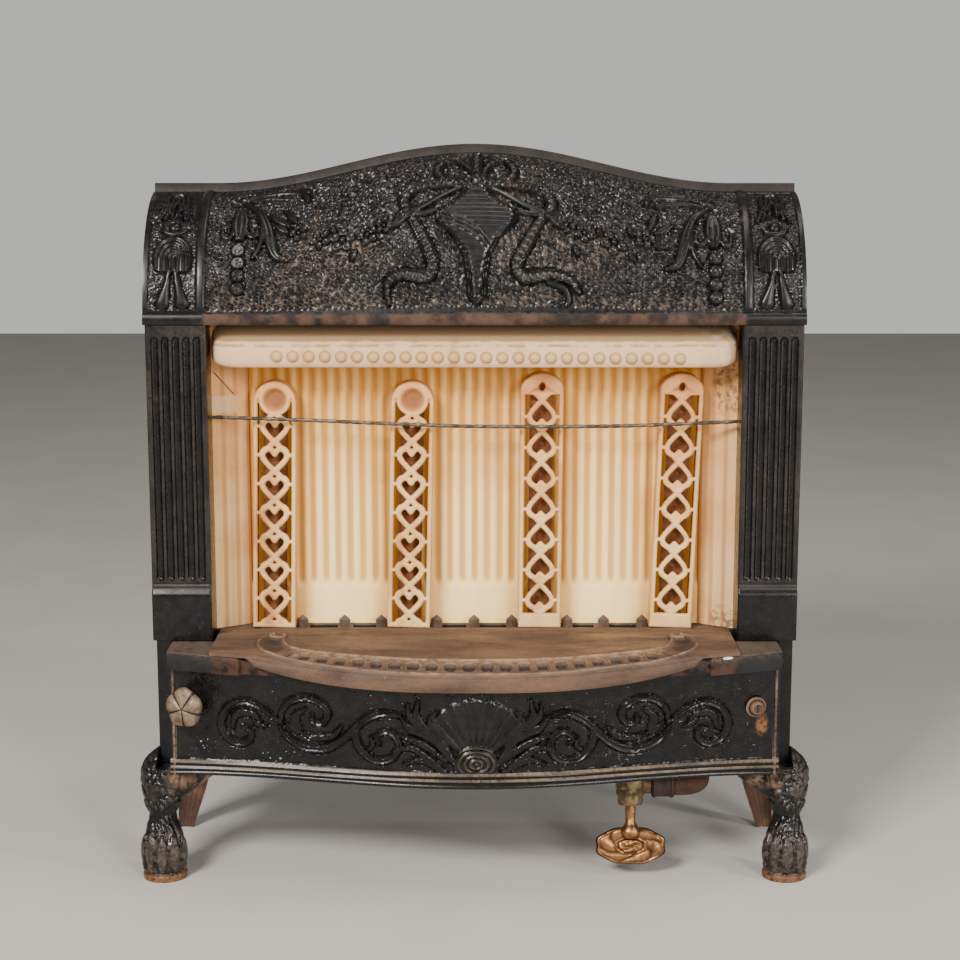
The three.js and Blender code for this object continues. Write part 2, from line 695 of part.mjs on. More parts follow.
function guardWire() {
  const path = new THREE.CatmullRomCurve3([
    new THREE.Vector3(-227, 20, 401.5), new THREE.Vector3(-149, 20, 398.9),
    new THREE.Vector3(-64, 20, 395.4), new THREE.Vector3(5, 20, 393.3),
    new THREE.Vector3(125, 20, 393.7), new THREE.Vector3(227, 20, 397.6),
  ]);
  const section = shapeOf(Array.from({ length: 5 }, (_, i) => [
    2 * Math.cos((i * Math.PI) / 2.5), 2 * Math.sin((i * Math.PI) / 2.5),
  ]));
  return new THREE.ExtrudeGeometry(section, { steps: 8, extrudePath: path, bevelEnabled: false });
}

// Sheet-iron casing behind the fire, with a stepped flue box inside the hood
function casing() {
  const side = [
    [CASING_FRONT, 100], [CASING_BACK, 100], [CASING_BACK, CASING_TOP], [66, CASING_TOP],
    [66, 486], [CASING_FRONT, 486],
  ];
  const sidePlate = (x) => loft([x, x + SHEET].map((px) => side.map(([y, z]) => new THREE.Vector3(px, y, z))));
  const half = CASING_HALF;
  const back = box(-half, half, CASING_BACK - SHEET, CASING_BACK, 100, CASING_TOP);
  const flue = box(-80, 80, CASING_BACK - 10, CASING_BACK + 10, 515, 560);
  return join(
    sidePlate(-half),
    sidePlate(half - SHEET),
    cut(back, flue),
    box(-half, half, 66, CASING_BACK, CASING_TOP - SHEET, CASING_TOP),
    box(-half, half, 66, 66 + SHEET, 486 - SHEET, CASING_TOP),
    box(-half, half, 47, 66 + SHEET, 486 - SHEET, 486),
    box(-half, -half + 34, CASING_FRONT, CASING_BACK, 100, 100 + SHEET),
    box(half - 34, half, CASING_FRONT, CASING_BACK, 100, 100 + SHEET),
  );
}

// Claw-and-ball front foot, drawn on the left
function frontFoot() {
  const levels = [
    [0, 0, -18, 18, 17, 0], [6, 0, -18, 18.6, 17.6, 0], [9, 0, -18, 17, 16.4, 0.02],
    [22, 0.5, -18, 20, 19, 0.06], [34, 0.5, -18, 19.6, 18.6, 0.06], [43, 2, -17, 16.6, 15.6, 0.05],
    [52, 4, -15, 12.6, 13, 0.03], [62, 4.4, -12, 13.6, 14, 0.02], [74, 3.4, -8, 18, 17, 0.02],
    [88, 1.6, -5, 20.4, 19, 0.03], [100, 0, -3, 18, 17, 0.03], [112, -6, 2, 10, 10, 0],
  ];
  const sides = 9;
  const rings = levels.map(([z, dx, y, rx, ry, claw]) => Array.from({ length: sides }, (_, i) => {
    const angle = (i / sides) * 2 * Math.PI;
    const r = 1 + claw * Math.cos(3 * angle);
    return new THREE.Vector3(-FOOT_X + dx + rx * r * Math.cos(angle), y + ry * r * Math.sin(angle), z);
  }));
  const bracket = loft([[-262, 66, 88, 9], [-228, 92, 96.5, 6]].map(([x, z0, z1, w]) => [
    new THREE.Vector3(x, -4 - w, z1), new THREE.Vector3(x, -4 + w, z1),
    new THREE.Vector3(x, -4 + w, z0), new THREE.Vector3(x, -4 - w, z0),
  ]));
  const frame = box(-FRAME_OUTER - GAP, 0, -60, 80, APRON_BOTTOM - GAP, 200);
  return cut(join(loft(rings), bracket), frame);
}

// Thin curved rear leg, drawn on the left
function rearLeg() {
  const levels = [
    [0, -271, 106, 7, 2], [14, -269, 109.5, 9.4, 3], [44, -263.5, 113.4, 13.4, 5.4],
    [74, -259.5, 111.6, 15, 6], [99.6, -258, 106, 15, 6],
  ];
  return loft(levels.map(([z, x, y, half, camber]) => {
    const outer = [-1, -0.4, 0.4, 1].map((f) => new THREE.Vector3(x + half * f, y - camber * f * f, z));
    const inner = [1, 0.4, -0.4, -1].map((f) => new THREE.Vector3(x + half * f * 0.98, y - camber * f * f + 4.5, z));
    return [...outer, ...inner];
  }));
}

// Five-petal knob that holds the apron, and the screw and washer left where its pair is missing
function seatedOnApron(geometry, x, z) {
  const across = apronSurface(x + 8, z).sub(apronSurface(x - 8, z)).normalize();
  const up = apronSurface(x, z + 8).sub(apronSurface(x, z - 8)).normalize();
  const outward = across.clone().cross(up).normalize();
  const seat = new THREE.Matrix4().makeBasis(across, outward.clone().cross(across), outward);
  const foot = apronSurface(x, z).addScaledVector(outward, 3 * GAP);
  return geometry.applyMatrix4(seat.setPosition(foot));
}

function rosetteKnob() {
  const levels = [[0, 7, 0], [8, 7.5, 0], [10.5, 15, 0.12], [15.5, 15.5, 0.12], [21.5, 7, 0.08]];
  const knob = loft(levels.map(([z, r, lobe]) => Array.from({ length: 15 }, (_, i) => {
    const angle = (i / 15) * 2 * Math.PI;
    const reach = r * (1 + lobe * Math.cos(5 * angle));
    return new THREE.Vector3(reach * Math.sin(angle), 1.12 * reach * Math.cos(angle), z);
  })));
  return seatedOnApron(knob, -242.5, 164);
}

function apronStud() {
  const stud = turned([[0, 0], [9, 0], [9, 2], [6.4, 2.4], [6.4, 5], [4.6, 6.4], [0, 6.4]], 10);
  return seatedOnApron(cut(stud, box(-0.8, 0.8, -9, 9, 4.6, 9)), 240, 160);
}

// Gas valve: barrel, gland nut and side boss; the key turns in the gland
function axisPoint(down) {
  return new THREE.Vector3(KEY_AXIS_X, -6.6 - down * Math.sin(KEY_TILT), 76 - down * Math.cos(KEY_TILT));
}

function alongAxis(geometry) {
  const centre = axisPoint(0);
  return geometry.rotateX(-KEY_TILT).translate(centre.x, centre.y, centre.z);
}

function valveBody() {
  const barrel = turned([[0, 16], [9, 16], [13, 12], [13, -5], [0, -5]], 10);
  const nut = turned([[0, -4], [10.8, -4], [10.8, -12], [9, -14.5], [0, -14.5]], 6);
  const bore = turned([[0, -6], [5.3, -6], [5.3, -20], [0, -20]], 10);
  const body = alongAxis(cut(join(barrel, nut), bore));
  const inlet = turned([[0, 0], [9, 0], [9, 22], [0, 22]], 8).rotateY(Math.PI / 2);
  inlet.translate(KEY_AXIS_X, -4, 80);
  return cut(join(body, inlet), box(154.6, 200, -40, 40, 40, 120));
}

function valveKey() {
  const stem = turned([[0, -8.5], [4.7, -8.5], [4.7, -31], [8, -34], [9.4, -38.5], [7, -44], [0, -45]], 9);
  const half = 31.5;
  const outline = Array.from({ length: 20 }, (_, i) => {
    const angle = (i / 20) * 2 * Math.PI;
    const lobe = 1 + 0.05 * Math.cos(8 * angle);
    return [half * lobe * Math.cos(angle), -KEY_DROP + 15.6 * lobe * Math.sin(angle)];
  });
  const plate = facing(shapeOf(outline), -2.6, 5.2);
  const flower = turned([[0, 0], [10, 0], [7, 2.2], [0, 2.2]], 8).rotateX(Math.PI / 2).translate(0, -2.5, -KEY_DROP);
  return alongAxis(join(stem, plate, flower));
}

function mixerTube() {
  const path = new THREE.CatmullRomCurve3([
    new THREE.Vector3(KEY_AXIS_X, -1.5, 94), new THREE.Vector3(KEY_AXIS_X, 6, 116),
    new THREE.Vector3(KEY_AXIS_X, 36, 156), new THREE.Vector3(KEY_AXIS_X, 46, 174),
    new THREE.Vector3(KEY_AXIS_X, 46.3, BURNER_BOTTOM - GAP),
  ]);
  const section = shapeOf(Array.from({ length: 7 }, (_, i) => [
    9 * Math.cos((i * Math.PI) / 3.5), 9 * Math.sin((i * Math.PI) / 3.5),
  ]));
  return new THREE.ExtrudeGeometry(section, { steps: 5, extrudePath: path, bevelEnabled: false });
}

function pipeCoupling() {
  const ring = turned([[0, 0], [11, 0], [12.6, 2], [12.6, 18], [11, 20], [0, 20]], 8);
  return ring.rotateY(Math.PI / 2).translate(155, -4, 80);
}

function supplyPipe() {
  const bend = 22;
  const start = new THREE.Vector3(175.4, -4, 80);
  const path = new THREE.CurvePath();
  const corner = new THREE.Vector3(start.x + bend, start.y, start.z);
  path.add(new THREE.QuadraticBezierCurve3(start, corner, corner.clone().add(new THREE.Vector3(0, bend, 0))));
  path.add(new THREE.LineCurve3(
    corner.clone().add(new THREE.Vector3(0, bend, 0)),
    new THREE.Vector3(corner.x, CASING_BACK - 2, corner.z),
  ));
  const section = shapeOf(Array.from({ length: 8 }, (_, i) => [
    10.6 * Math.cos((i * Math.PI) / 4), 10.6 * Math.sin((i * Math.PI) / 4),
  ]));
  const pipe = new THREE.ExtrudeGeometry(section, { steps: 7, extrudePath: path, bevelEnabled: false });
  const bore = turned([[0, 0], [7.4, 0], [7.4, 70], [0, 70]], 8).rotateX(-Math.PI / 2);
  bore.translate(corner.x, CASING_BACK - 50, corner.z);
  return cut(pipe, bore);
}

// The assembled heater, with the middle of its box over the origin
const group = new THREE.Group();

function place(name, geometry, material) {
  const mesh = new THREE.Mesh(geometry, material);
  mesh.name = name;
  group.add(mesh);
  return mesh;
}

place('hood', hood(), BLACK_IRON);
place('pilaster_left', pilaster(), BLACK_IRON);
place('pilaster_right', mirrored(pilaster()), BLACK_IRON);
place('apron', apron(), BLACK_IRON);
place('hearth_plate', hearthPlate(), RUSTY_IRON);
place('lintel', lintel(), CREAM_CLAY);
place('fireback', fireback(), CREAM_CLAY);
place('cheek_left', cheek(), CREAM_CLAY);
place('cheek_right', mirrored(geometryOf(solidOf(cheek()))), CREAM_CLAY);
RADIANTS.forEach((settings, i) => {
  const { geometry, x, lean, base } = radiant(settings);
  const mesh = place(`radiant_${i + 1}`, geometry, PEACH_CLAY);
  mesh.rotation.y = THREE.MathUtils.degToRad(lean);
  mesh.position.set(x, RADIANT_FRONT, base + RADIANT_WIDTH * 0.5 * Math.sin(mesh.rotation.y));
});
place('burner', burner(), RUSTY_IRON);
place('guard_wire', guardWire(), WIRE_STEEL);
place('casing', casing(), SHEET_IRON);
place('foot_front_left', frontFoot(), BLACK_IRON);
place('foot_front_right', mirrored(frontFoot()), BLACK_IRON);
place('leg_rear_left', rearLeg(), RUSTY_IRON);
place('leg_rear_right', mirrored(rearLeg()), RUSTY_IRON);
place('rosette_knob', rosetteKnob(), BRASS);
place('apron_stud', apronStud(), RUSTY_IRON);
place('valve_body', valveBody(), BRASS);
place('valve_key', valveKey(), BRASS);
place('mixer_tube', mixerTube(), SHEET_IRON);
place('pipe_coupling', pipeCoupling(), SHEET_IRON);
place('supply_pipe', supplyPipe(), RUSTY_IRON);

const FRONT_Y = LEDGE_END_Y - BOW_DEPTH;
group.position.set(0, -(FRONT_Y + CASING_BACK) / 2, 0);

export default group;
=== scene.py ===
"""Looks of an antique cast-iron gas heater: relief, rust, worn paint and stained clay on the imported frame.

Shapes are worked out in millimetres with Y = 0 at the face of the pilasters, as in the part's source,
and are moved into the shared frame (metres, origin on the floor under the heater) when a mesh is made.
"""

import math

import bmesh
import bpy
import numpy as np
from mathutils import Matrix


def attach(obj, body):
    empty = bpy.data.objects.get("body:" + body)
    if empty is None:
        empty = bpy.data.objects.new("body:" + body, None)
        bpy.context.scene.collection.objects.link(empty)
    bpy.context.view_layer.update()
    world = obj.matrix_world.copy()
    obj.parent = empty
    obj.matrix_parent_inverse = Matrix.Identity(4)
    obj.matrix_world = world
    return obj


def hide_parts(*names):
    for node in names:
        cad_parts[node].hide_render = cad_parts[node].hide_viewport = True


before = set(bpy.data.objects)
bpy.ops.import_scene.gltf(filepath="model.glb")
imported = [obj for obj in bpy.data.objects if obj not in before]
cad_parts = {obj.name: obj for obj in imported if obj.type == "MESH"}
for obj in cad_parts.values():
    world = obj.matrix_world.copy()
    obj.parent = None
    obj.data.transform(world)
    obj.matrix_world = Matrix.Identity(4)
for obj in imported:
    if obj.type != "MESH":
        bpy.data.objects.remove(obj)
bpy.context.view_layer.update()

MM = 0.001
FRAME_SHIFT_Y = -19.5
BODY = "heater"
GAP = 0.4

# Named sizes, the same as in the part's source
HOOD_HALF = 280.5
HOOD_BOTTOM = 483.0
HOOD_DEPTH = 90.0
SHOULDER = 599.0
CREST_RISE = 34.0
CREST_HALF = 225.0
RIM_HEIGHT = 7.0
HOOD_UP = 180.0
WALL = 5.0
LEDGE_HALF = 262.0
LEDGE_TOP = 208.5
LEDGE_THICK = 15.5
LEDGE_END_Y = -39.0
BOW_DEPTH = 44.0
BOW_POWER = 2.2
APRON_HALF = 261.5
APRON_BOTTOM = 97.7
PLATE_HALF = 224.0
PLATE_TOP = 211.5
PLATE_THICK = 2.8
RIM_HALF = 195.0
RIM_DROP = 12.5
SKIRT_BOTTOM = 184.4
PILASTER_OUTER = 279.0
PILASTER_INNER = 227.5
PLINTH_TOP = 249.0
PLINTH_BOTTOM = 209.0
SHAFT_BOTTOM = 256.0
FIREBACK_HALF = 198.0
KEY_TILT = math.radians(13)
KEY_X = 136.5
KEY_DROP = 49.5
BAY_WIDTH = 116.5
FIRST_BEAD = (-168.2, 4.2, 455.5)
LAST_BEAD = (174.5, 4.2, 453.6)
BEAD_COUNT = 26
BEAD_PITCH = (LAST_BEAD[0] - FIRST_BEAD[0]) / (BEAD_COUNT - 1)


# Repeatable noise on arrays

def hashed(i, j, seed):
    n = (i.astype(np.int64) * 73856093) ^ (j.astype(np.int64) * 19349663) ^ (seed * 83492791)
    n = (n ^ (n >> 13)) * 1274126177
    n = n ^ (n >> 16)
    return (n & 0xFFFF) / 65535.0


def ease(x, low=0.0, high=1.0):
    t = np.clip((x - low) / (high - low), 0, 1)
    return t * t * (3 - 2 * t)


def value_noise(u, v, size, seed):
    x, y = u / size, v / size
    i, j = np.floor(x), np.floor(y)
    fx, fy = ease(x - i), ease(y - j)
    low = hashed(i, j, seed) * (1 - fx) + hashed(i + 1, j, seed) * fx
    high = hashed(i, j + 1, seed) * (1 - fx) + hashed(i + 1, j + 1, seed) * fx
    return low * (1 - fy) + high * fy


def pebbles(u, v, size, seed):
    """Rounded pebbles packed together, from 0 in the crevices to 1 on top"""
    bend = value_noise(u, v, size * 1.7, seed + 3) - 0.5
    x, y = u / size + bend, v / size - bend
    i, j = np.floor(x), np.floor(y)
    first = np.full_like(x, 9.0)
    second = np.full_like(x, 9.0)
    for di in (-1, 0, 1):
        for dj in (-1, 0, 1):
            ci, cj = i + di, j + dj
            dx = ci + 0.1 + 0.8 * hashed(ci, cj, seed) - x
            dy = cj + 0.1 + 0.8 * hashed(ci, cj, seed + 7) - y
            d = np.hypot(dx, dy)
            second = np.minimum(second, np.maximum(first, d))
            first = np.minimum(first, d)
    return np.clip((second - first) * 2.0, 0, 1) ** 0.7


def smooth_path(points, count):
    """Catmull-Rom curve through points of any width, with count samples"""
    p = np.array(points, float)
    ends = np.vstack((2 * p[0] - p[1], p, 2 * p[-1] - p[-2]))
    t = np.linspace(0, len(p) - 1, count)
    k = np.minimum(t.astype(int), len(p) - 2)
    f = (t - k)[:, None]
    a, b, c, d = ends[k], ends[k + 1], ends[k + 2], ends[k + 3]
    return 0.5 * (2 * b + (c - a) * f + (2 * a - 5 * b + 4 * c - d) * f ** 2
                  + (3 * b - a - 3 * c + d) * f ** 3)


def blend(height, cover, level):
    """The height, brought to level where cover is 1"""
    return height * (1 - cover) + level * cover


def ridge(v, middle, width):
    return np.exp(-((v - middle) / width) ** 2)


def xyz(x, y, z):
    """Points from three coordinates, each an array or a number"""
    return np.stack(np.broadcast_arrays(x, y, z), -1).astype(float)


def strip(x, y, z):
    """Points along x, ready to be joined to a skin as one more row"""
    return xyz(x, y, z)[:, None]


def to_frame(points):
    return (np.asarray(points, float) + (0, FRAME_SHIFT_Y, 0)) * MM


class Relief:
    """Heights in millimetres over points (u, v) of a surface, with ornament laid on the ground"""

    def __init__(self, u, v, ground, tone=None, lift=0.15, base=-1.95):
        self.u, self.v, self.h = u, v, ground
        self.made = np.zeros_like(ground)
        self.tone = ground.copy() if tone is None else tone
        self.lift, self.base = lift, base

    def lay(self, inside, height, cover, beside=None):
        """Ornament where cover is 1, with a groove where it isn't and beside is 1"""
        height, tone = height if isinstance(height, tuple) else (height, self.lift * height + self.base)
        if beside is not None:
            groove = beside * (1 - self.made[inside])
            self.h[inside] -= 0.7 * groove
            self.tone[inside] -= 1.2 * groove
        made, h, old = self.made[inside], self.h[inside], self.tone[inside]
        over = (made < 0.5) | (height > h)
        self.h[inside] = blend(h, cover, np.where(over, height, h))
        self.tone[inside] = blend(old, cover, np.where(over, tone, old))
        self.made[inside] = np.maximum(made, cover)

    def near(self, low_u, high_u, low_v, high_v):
        return (self.u > low_u) & (self.u < high_u) & (self.v > low_v) & (self.v < high_v)

    def strap(self, path, profile, fade=1.18, count=None):
        """profile(t, s, length): height at t half-widths off the middle, s millimetres along"""
        line = smooth_path(path, count or 8 * len(path))
        width = np.maximum(line[:, 2], 0.3)
        reach = width.max() * fade + 0.5
        inside = self.near(line[:, 0].min() - reach, line[:, 0].max() + reach,
                           line[:, 1].min() - reach, line[:, 1].max() + reach)
        p = np.stack((self.u[inside], self.v[inside]), 1)
        if not len(p):
            return
        a, b = line[:-1, :2], line[1:, :2]
        ab = b - a
        size = np.maximum((ab ** 2).sum(1), 1e-9)
        f = np.clip(((p[:, None] - a) * ab).sum(2) / size, 0, 1)
        off = p[:, None] - (a + f[..., None] * ab)
        t = np.hypot(off[..., 0], off[..., 1]) / (width[:-1] + f * (width[1:] - width[:-1]))
        k = t.argmin(1)
        row = np.arange(len(p))
        f, t, off = f[row, k], t[row, k], off[row, k]
        beyond = (t - 1) * (width[k] + f * (width[k + 1] - width[k]))
        side = np.sign(ab[k, 0] * off[:, 1] - ab[k, 1] * off[:, 0])
        lengths = np.sqrt(size)
        along = np.concatenate(([0], np.cumsum(lengths)))[k] + f * lengths[k]
        self.lay(inside, profile(t * side, along, lengths.sum()), 1 - ease(t, 1.0, fade),
                 ridge(beyond, 1.0, 0.7))

    def disc(self, u0, v0, radius, profile, fade=1.18, stretch=1.0):
        reach = radius * fade * max(1, stretch) + 0.5
        inside = self.near(u0 - reach, u0 + reach, v0 - reach, v0 + reach)
        du, dv = self.u[inside] - u0, (self.v[inside] - v0) / stretch
        r = np.hypot(du, dv) / radius
        self.lay(inside, profile(r, np.arctan2(du, dv)), 1 - ease(r, 1.0, fade),
                 ridge((r - 1) * radius, 1.0, 0.7))


# Cross-sections of straps

def dome(t):
    return np.sqrt(np.clip(1 - t * t, 0, 1))


def bar(rise):
    return lambda t, s, length: rise * dome(t)


def leaf(rise, ribs=0.0):
    return lambda t, s, length: rise * dome(t) * (1 - 0.5 * ridge(t, 0, 0.2)) \
        * (1 - 0.25 * (np.cos(ribs * (s + 3 * np.abs(t))) > 0.3) * (ribs > 0))


def rope(rise, pitch=5.6):
    """Ribbon with two rims and a row of beads lying across the hollow between them"""
    def height(t, s, length):
        along = 0.5 + 0.5 * np.cos(2 * np.pi * (s / pitch + 0.12 * t))
        bead = np.clip(1 - (np.abs(t) / 0.6) ** 2, 0, 1) * along
        return rise * (0.1 + 0.9 * ridge(np.abs(t), 0.82, 0.2) + 0.75 * bead), 1.6 * bead - 1.6
    return height


def scroll(rise):
    """Scroll stem: two rims with a hollow between and a slightly higher outer rim"""
    return lambda t, s, length: rise * (0.25 + 0.75 * np.maximum(ridge(t, 0.62, 0.3),
                                                                 0.8 * ridge(t, -0.62, 0.26)))


def flower(rise, turn):
    """Five round cupped petals about a domed middle, with light ground between them"""
    def height(r, angle):
        step = 2 * math.pi / 5
        local = (angle + turn) % step - step / 2
        d = np.hypot(r * np.cos(local) - 0.62, r * np.sin(local)) / 0.37
        petal = dome(np.clip(d, 0, 1)) * (1 - 0.7 * ridge(d, 0, 0.42))
        made = rise * np.maximum(petal, dome(np.clip(r / 0.24, 0, 1)))
        return made - 1.4 * (made <= 0), np.where(made > 0, -2.0, -0.7)
    return height


def ringed(rise):
    return lambda r, angle: rise * (0.25 + 0.75 * np.maximum(ridge(r, 0.74, 0.2), ridge(r, 0, 0.26)))


# Surfaces

def crest(x):
    reach = np.minimum(1, np.abs(x) / CREST_HALF)
    return SHOULDER + CREST_RISE * np.cos(math.pi / 2 * reach) ** 2


def hood_surface(x, up, out):
    height = crest(x) - RIM_HEIGHT - HOOD_BOTTOM
    angle = up / HOOD_UP * math.pi / 2
    ny, nz = -np.cos(angle) / HOOD_DEPTH, np.sin(angle) / height
    size = np.hypot(ny, nz)
    y = HOOD_DEPTH * (1 - np.cos(angle)) + out * ny / size
    z = HOOD_BOTTOM + height * np.sin(angle) + out * nz / size
    return xyz(x, y, z)


def ledge_front(x):
    return LEDGE_END_Y - BOW_DEPTH + BOW_DEPTH * (np.abs(x) / LEDGE_HALF) ** BOW_POWER


def apron_foot(x):
    reach = np.minimum(1, np.abs(x) / APRON_HALF)
    return -31.0 - 39.0 * np.cos(math.pi / 2 * reach) ** 2


def apron_face(x, z):
    up = np.clip((z - APRON_BOTTOM) / (LEDGE_TOP - LEDGE_THICK - APRON_BOTTOM), 0, 1)
    return apron_foot(x) * (1 - up) + (ledge_front(x) + 8) * up


def rim_fall(x):
    return RIM_DROP * np.maximum(0, 1 - (x / RIM_HALF) ** 2) ** 0.8


def plate_top(x, y):
    return PLATE_TOP - rim_fall(x) * np.clip((-5 - y) / 78, 0, 1)


# Meshes

def link(name, data):
    """A new object in the scene, at the origin"""
    thing = bpy.data.objects.new(name, data)
    bpy.context.scene.collection.objects.link(thing)
    return thing


class Body:
    """Several closed bodies gathered into one mesh, with the tone of each point for its paint"""

    def __init__(self):
        self.points, self.faces, self.rise = [], [], []
        self.count = 0

    def rings(self, rings, rise=0.0):
        """A closed body through rings of equal size, with a cap at each end"""
        rings = np.asarray(rings, float)
        count, size = rings.shape[:2]
        i, j = np.arange(count - 1)[:, None] * size, np.arange(size)
        around = (j + 1) % size
        quads = np.stack((i + j, i + around, i + size + around, i + size + j), -1).reshape(-1, 4)
        for faces in (quads, [j[::-1]], [j + (count - 1) * size]):
            self.faces += (np.asarray(faces) + self.count).tolist()
        self.points.append(rings.reshape(-1, 3))
        self.rise.append(np.broadcast_to(rise, (count, size)).ravel())
        self.count += count * size
        return self

    def tube(self, line, radius, sides):
        """Round bar along a line of points"""
        way = np.gradient(line, axis=0)
        way /= np.linalg.norm(way, axis=1)[:, None]
        side = np.cross(way, (0.0, 0.0, 1.0) if abs(way[0][2]) < 0.9 else (0.0, 1.0, 0.0))
        side /= np.linalg.norm(side, axis=1)[:, None]
        angle = np.linspace(0, 2 * math.pi, sides, endpoint=False)[:, None]
        ring = np.cos(angle) * side[:, None] + np.sin(angle) * np.cross(way, side)[:, None]
        return self.rings(line[:, None] + ring * radius)

    def turned(self, profile, place, sides, lobes=0, depth=0.0):
        """Turned form from (radius, height) pairs; place moves local points into the heater"""
        angle = np.linspace(0, 2 * math.pi, sides, endpoint=False)
        wave = 1 + depth * np.cos(lobes * angle)
        return self.rings([[place(p) for p in xyz(r * wave * np.cos(angle), r * wave * np.sin(angle), h)]
                           for r, h in profile])

    def piece(self, name, material, node, body=BODY, sharp=38, side=-1):
        """One object at the origin; a piece drawn on the left is turned over where side is 1"""
        points = np.vstack(self.points) * ((-1, 1, 1) if side > 0 else 1)
        mesh = bpy.data.meshes.new(name)
        mesh.from_pydata(to_frame(points).tolist(), [], [tuple(face) for face in self.faces])
        layer = mesh.attributes.new("rise", "FLOAT", "POINT")
        layer.data.foreach_set("value", np.concatenate(self.rise).astype(np.float32))
        work = bmesh.new()
        work.from_mesh(mesh)
        bmesh.ops.recalc_face_normals(work, faces=work.faces)
        work.to_mesh(mesh)
        work.free()
        mesh.shade_smooth()
        mesh.set_sharp_from_angle(angle=math.radians(sharp))
        mesh.materials.append(material)
        piece = link(name, mesh)
        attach(piece, body)
        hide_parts(node)


# Shader building

def feed(tree, socket, value):
    """A link where the value comes from a socket, or else the socket's own value"""
    value = getattr(value, "socket", value)
    if isinstance(value, bpy.types.NodeSocket):
        tree.links.new(value, socket)
    else:
        socket.default_value = (*value, 1.0) if socket.type == "RGBA" else value


def add_node(tree, kind, settings=None, values=None):
    """A new node: its settings first, then the values or links of its sockets"""
    node = tree.nodes.new(kind)
    for key, value in (settings or {}).items():
        setattr(node, key, value)
    for key, value in (values or {}).items():
        feed(tree, node.inputs[key], value)
    return node


class Sock:
    """A number or colour coming out of a paint's node, with arithmetic for numbers"""

    def __init__(self, paint, socket):
        self.paint, self.socket = paint, socket

    def math(self, operation, *values):
        return self.paint.add("ShaderNodeMath", {"operation": operation}, dict(enumerate(values)))

    def ramp(self, low, high, start=0.0, end=1.0):
        values = {"Value": self, "From Min": low, "From Max": high, "To Min": start, "To Max": end}
        return self.paint.add("ShaderNodeMapRange", {"interpolation_type": "SMOOTHSTEP"}, values, "Result")


def overload(name, operation):
    """Gives sockets one operator, with its reflected form"""
    setattr(Sock, f"__{name}__", lambda self, other: self.math(operation, self, other))
    setattr(Sock, f"__r{name}__", lambda self, other: self.math(operation, other, self))


for name, operation in (("add", "ADD"), ("sub", "SUBTRACT"), ("mul", "MULTIPLY"), ("truediv", "DIVIDE"),
                        ("pow", "POWER")):
    overload(name, operation)


class Paint:
    """A material being built: its nodes, its colour so far, and the Principled shader at the end"""

    def __init__(self, name, **values):
        self.material = bpy.data.materials.new(name)
        self.material.use_nodes = True
        self.tree = self.material.node_tree
        self.shader = self.tree.nodes["Principled BSDF"]
        self.set(**values)
        where = self.add("ShaderNodeTexCoord", output="Object")
        self.place = self.add("ShaderNodeVectorMath", {"operation": "SCALE"}, {0: where, "Scale": 1 / MM})
        split = add_node(self.tree, "ShaderNodeSeparateXYZ", {}, {0: self.place})
        self.x, self.y, self.z = (Sock(self, out) for out in split.outputs)
        self.away = self.x.math("ABSOLUTE", self.x)
        self.rise = self.add("ShaderNodeAttribute", {"attribute_name": "rise"}, output="Fac")

    def add(self, kind, settings=None, values=None, output=0):
        return Sock(self, add_node(self.tree, kind, settings, values).outputs[output])

    def set(self, **values):
        for key, value in values.items():
            feed(self.tree, self.shader.inputs[key.replace("_", " ").title()], value)

    def noise(self, size, detail=3.0, rough=0.55, stretch=(1, 1, 1)):
        """Noise from 0 to 1 with features about size millimetres across"""
        where = self.add("ShaderNodeMapping", {}, {"Vector": self.place, "Scale": stretch})
        return self.add("ShaderNodeTexNoise", {}, {"Vector": where, "Scale": 1.0 / size, "Detail": detail,
                                                   "Roughness": rough}, "Fac")

    def mix(self, factor, first, second):
        return self.add("ShaderNodeMix", {"data_type": "RGBA"}, {0: factor, 6: first, 7: second}, 2)

    def over(self, factor, color):
        """Another colour laid over the one so far where factor is 1"""
        self.color = self.mix(factor, self.color, color)

    def spot(self, x, z, wide, high, soft=0.4):
        """1 inside an ellipse about (x, z), seen from the front"""
        off = (((self.x - x) / wide) ** 2.0 + ((self.z - z) / high) ** 2.0) ** 0.5
        return off.ramp(1.0 + soft, 1.0 - soft)

    def wave(self, value, pitch):
        return self.x.math("COSINE", value * (2 * math.pi / pitch))

    def line(self, value, wide, fine):
        """1 on the line where value is 0, fading from fine to wide millimetres off it"""
        return self.x.math("ABSOLUTE", value).ramp(wide, fine)

    def done(self, roughness, height=None, strength=0.3, distance=0.0004):
        """The finished material, with its roughness and its fine bumps"""
        self.set(base_color=self.color, roughness=roughness)
        if height is not None:
            self.set(normal=self.add("ShaderNodeBump", {}, {"Strength": strength, "Distance": distance,
                                                            "Height": height}))
        return self.material


BLACK = (0.0085, 0.008, 0.0085)
SOOT = (0.003, 0.003, 0.0034)
WORN = (0.1, 0.077, 0.064)
PALE_RUST = (0.26, 0.165, 0.105)
DUST = (0.2, 0.17, 0.14)


